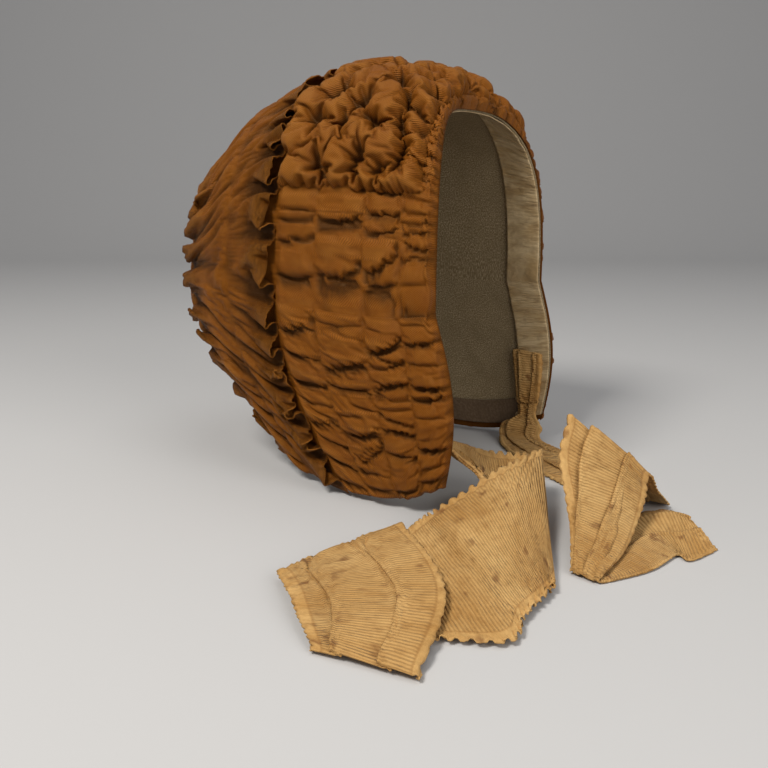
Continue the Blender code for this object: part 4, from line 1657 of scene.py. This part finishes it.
@dataclass
class Stitching:
    """Running stitches along the shirring rows and down the middle of the ruffle."""

    silk: ShirredSilk
    ruffle: RuffleBand
    begin: float = 0.385
    end: float = 0.985
    lift: float = 0.0002
    missing: float = 0.24
    length: float = 0.0019
    pitch: float = 0.0044
    thick: float = 0.00016
    seed: int = 17

    def build(self, finish: bpy.types.Material) -> bpy.types.Object:
        """Make the piece.

        Args:
            finish: its material.

        Returns:
            The dressed piece.
        """
        random = np.random.default_rng(self.seed)
        builder = bmesh.new()
        lines = [(back, self.begin, self.lift) for back in self.silk.stitches[1:4]]
        lines.append((self.ruffle.stitch, 0.0, -self.lift))
        for back, low, lift in lines:
            around = np.linspace(-1.0, 1.0, 4001)
            line = FORM.outline(np.full_like(around, back), around)
            run = np.linalg.norm(np.diff(line, axis=0), axis=1)
            run = np.concatenate([[0.0], np.cumsum(run)])
            count = int(run[-1] / self.pitch)
            for number in range(1, count):
                centre = np.interp(number * self.pitch + random.normal(0, 0.0003), run, around)
                if not low <= abs(centre) <= self.end or random.random() < self.missing:
                    continue
                spot = back + random.normal(0.0, 0.0012)
                self.add_stitch(builder, spot, float(centre), lift, random)
        mesh = bpy.data.meshes.new("stitching")
        builder.to_mesh(mesh)
        builder.free()
        mesh.uv_layers.new(name="cloth")
        mesh.shade_smooth()
        piece = bpy.data.objects.new("stitching", mesh)
        bpy.context.scene.collection.objects.link(piece)
        settle(piece, finish, [])
        return piece

    def add_stitch(self, builder: bmesh.types.BMesh, back: float, around: float, lift: float,
                   random: np.random.Generator) -> None:
        """Lay one stitch on the silk.

        Args:
            builder: the mesh it is added to.
            back: share from the face edge.
            around: share around.
            lift: metres out of the surface.
            random: the source of its small changes.
        """
        spot_back, spot_around = np.array([back]), np.array([around])
        found = FORM.directions(spot_back, spot_around)
        backward, sideways, outward = (Vector(v[0]) for v in found)
        point = Vector(FORM.point(spot_back, spot_around, np.array([lift]))[0])
        along = (sideways + backward * random.normal(0.0, 0.15)).normalized()
        across = outward.cross(along).normalized()
        turn = Matrix((along, across, outward)).transposed().to_4x4()
        half = self.length / 2.0 * random.uniform(0.8, 1.2)
        size = Matrix.Diagonal((half, self.thick, self.thick, 1.0))
        bmesh.ops.create_uvsphere(builder, u_segments=6, v_segments=5, radius=1.0,
                                  matrix=Matrix.Translation(point) @ turn @ size)


class Lamp(NamedTuple):
    """A soft light: where it hangs, where it points, its watts, its width and its colour."""

    name: str
    place: tuple[float, float, float]
    target: tuple[float, float, float]
    power: float
    size: float
    colour: Colour


LAMPS = (
    Lamp("key", (-1.10, 0.22, 1.15), (0.0, 0.0, -0.12), 27.0, 0.5, (1.0, 0.97, 0.92)),
    Lamp("top", (0.10, -0.30, 1.50), (0.0, 0.0, -0.10), 5.0, 1.0, (1.0, 0.99, 0.98)),
    Lamp("fill", (-0.55, -1.55, 0.45), (0.0, 0.0, -0.14), 13.0, 1.1, (1.0, 0.98, 0.95)),
)


@dataclass(frozen=True)
class Studio:
    """The pale floor, the soft lights and the camera."""

    lens: float = 41.25
    place: tuple[float, float, float] = (-0.587, -0.3238, -0.0501)
    pitch: float = 14.3
    azimuth: float = -60.0
    reach: float = 1.4
    bend: float = 1.0
    paper: Colour = (0.50, 0.495, 0.49)
    sky: Colour = (0.66, 0.67, 0.70)
    sky_strength: float = 0.36

    def build(self) -> None:
        """Make the floor, the lights and the camera."""
        scene = bpy.context.scene
        scene.view_settings.view_transform = "Standard"
        self.floor()
        world = bpy.data.worlds.new("studio")
        world.use_nodes = True
        background = world.node_tree.nodes["Background"]
        background.inputs[0].default_value = (*self.sky, 1.0)
        background.inputs[1].default_value = self.sky_strength
        scene.world = world
        for lamp in LAMPS:
            self.light(lamp)
        self.camera()

    def floor(self) -> None:
        """Make the floor, bent up into a backdrop behind the hood."""
        builder = bmesh.new()
        bmesh.ops.create_grid(builder, x_segments=2, y_segments=2, size=self.reach)
        far = [e for e in builder.edges if all(v.co.y > self.reach * 0.99 for v in e.verts)]
        bent = bmesh.ops.spin(builder, geom=far, cent=(0.0, self.reach, self.bend),
                              axis=(1.0, 0.0, 0.0), angle=math.pi / 2.0, steps=24)
        top = [e for e in bent["geom_last"] if isinstance(e, bmesh.types.BMEdge)]
        raised = bmesh.ops.extrude_edge_only(builder, edges=top)["geom"]
        raised = [v for v in raised if isinstance(v, bmesh.types.BMVert)]
        bmesh.ops.translate(builder, verts=raised, vec=(0.0, 0.0, self.reach))
        turn = Matrix.Rotation(math.radians(self.azimuth), 3, "Z")
        bmesh.ops.rotate(builder, verts=builder.verts, matrix=turn)
        drop = -float(FORM.seat()[2]) - 0.0002
        bmesh.ops.translate(builder, verts=builder.verts, vec=(0.0, 0.0, drop))
        mesh = bpy.data.meshes.new("floor")
        builder.to_mesh(mesh)
        builder.free()
        mesh.shade_smooth()
        floor = bpy.data.objects.new("floor", mesh)
        bpy.context.scene.collection.objects.link(floor)
        mesh.materials.append(NodeNet("floor_paper").close((*self.paper, 1.0), 0.9))

    def camera(self) -> None:
        """Make the camera at the photo's angle."""
        camera = bpy.data.objects.new("camera", bpy.data.cameras.new("camera"))
        camera.data.lens = self.lens
        camera.data.sensor_width = 36.0
        camera.data.clip_start, camera.data.clip_end = 0.02, 50.0
        turn, down = math.radians(self.azimuth), math.radians(self.pitch)
        look = Vector((-math.sin(turn) * math.cos(down), math.cos(turn) * math.cos(down),
                       -math.sin(down)))
        camera.location = self.place
        camera.rotation_euler = look.to_track_quat("-Z", "Y").to_euler()
        bpy.context.scene.collection.objects.link(camera)
        bpy.context.scene.camera = camera

    @staticmethod
    def light(lamp: Lamp) -> None:
        """Add one soft light.

        Args:
            lamp: the light.
        """
        data = bpy.data.lights.new(lamp.name, "AREA")
        data.energy, data.size, data.color = lamp.power, lamp.size, lamp.colour
        item = bpy.data.objects.new(lamp.name, data)
        item.location = lamp.place
        look = Vector(lamp.target) - Vector(lamp.place)
        item.rotation_euler = look.to_track_quat("-Z", "Y").to_euler()
        bpy.context.scene.collection.objects.link(item)


def main() -> None:
    """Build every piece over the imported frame."""
    logging.basicConfig(level=logging.INFO, format="%(name)s: %(message)s")
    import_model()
    twill = SilkTwill().build()
    front = FrontSection()
    front.build(twill)
    BackSection().build(twill)
    ruffle = RuffleBand()
    ruffle.build(twill)
    CrownRuching().build(twill)
    skins = InnerSkins()
    wool = PlainCloth("speckled_wool", (0.175, 0.125, 0.062), (0.420, 0.330, 0.200))
    skins.lining(wool.build())
    skins.front_facing(AgedSatin().build())
    # The neck band is the facing's cream satin, darkened into a shaded copy as painted shade.
    shaded_neck_satin = PlainCloth("neck_satin_in_shade", (0.105, 0.066, 0.036), (0.150, 0.100, 0.060), grain=0.3,
                       roughness=0.6, fuzz=0.0002)
    skins.neck_facing(shaded_neck_satin.build())
    right = RibbonTie("right_tie", Side.RIGHT, RIGHT_BENDS, (0.0, 0.15, 0.30), (0.090, 0.46),
                      "ribbon_right")
    right.build(Grosgrain("grosgrain_right", seed=1.0).build())
    left = RibbonTie("left_tie", Side.LEFT, LEFT_BENDS, (0.0, 0.25, 0.50, 0.72), (0.090, 0.50),
                     "ribbon_left", seed=8)
    left.build(Grosgrain("grosgrain_left", seed=2.0).build())
    gold = PlainCloth("gold_thread", (0.36, 0.19, 0.055), (0.48, 0.28, 0.10), grain=2.0,
                      roughness=0.6, fuzz=0.0001)
    Stitching(front.silk, ruffle).build(gold.build())
    Studio().build()


if __name__ == "__main__":
    main()
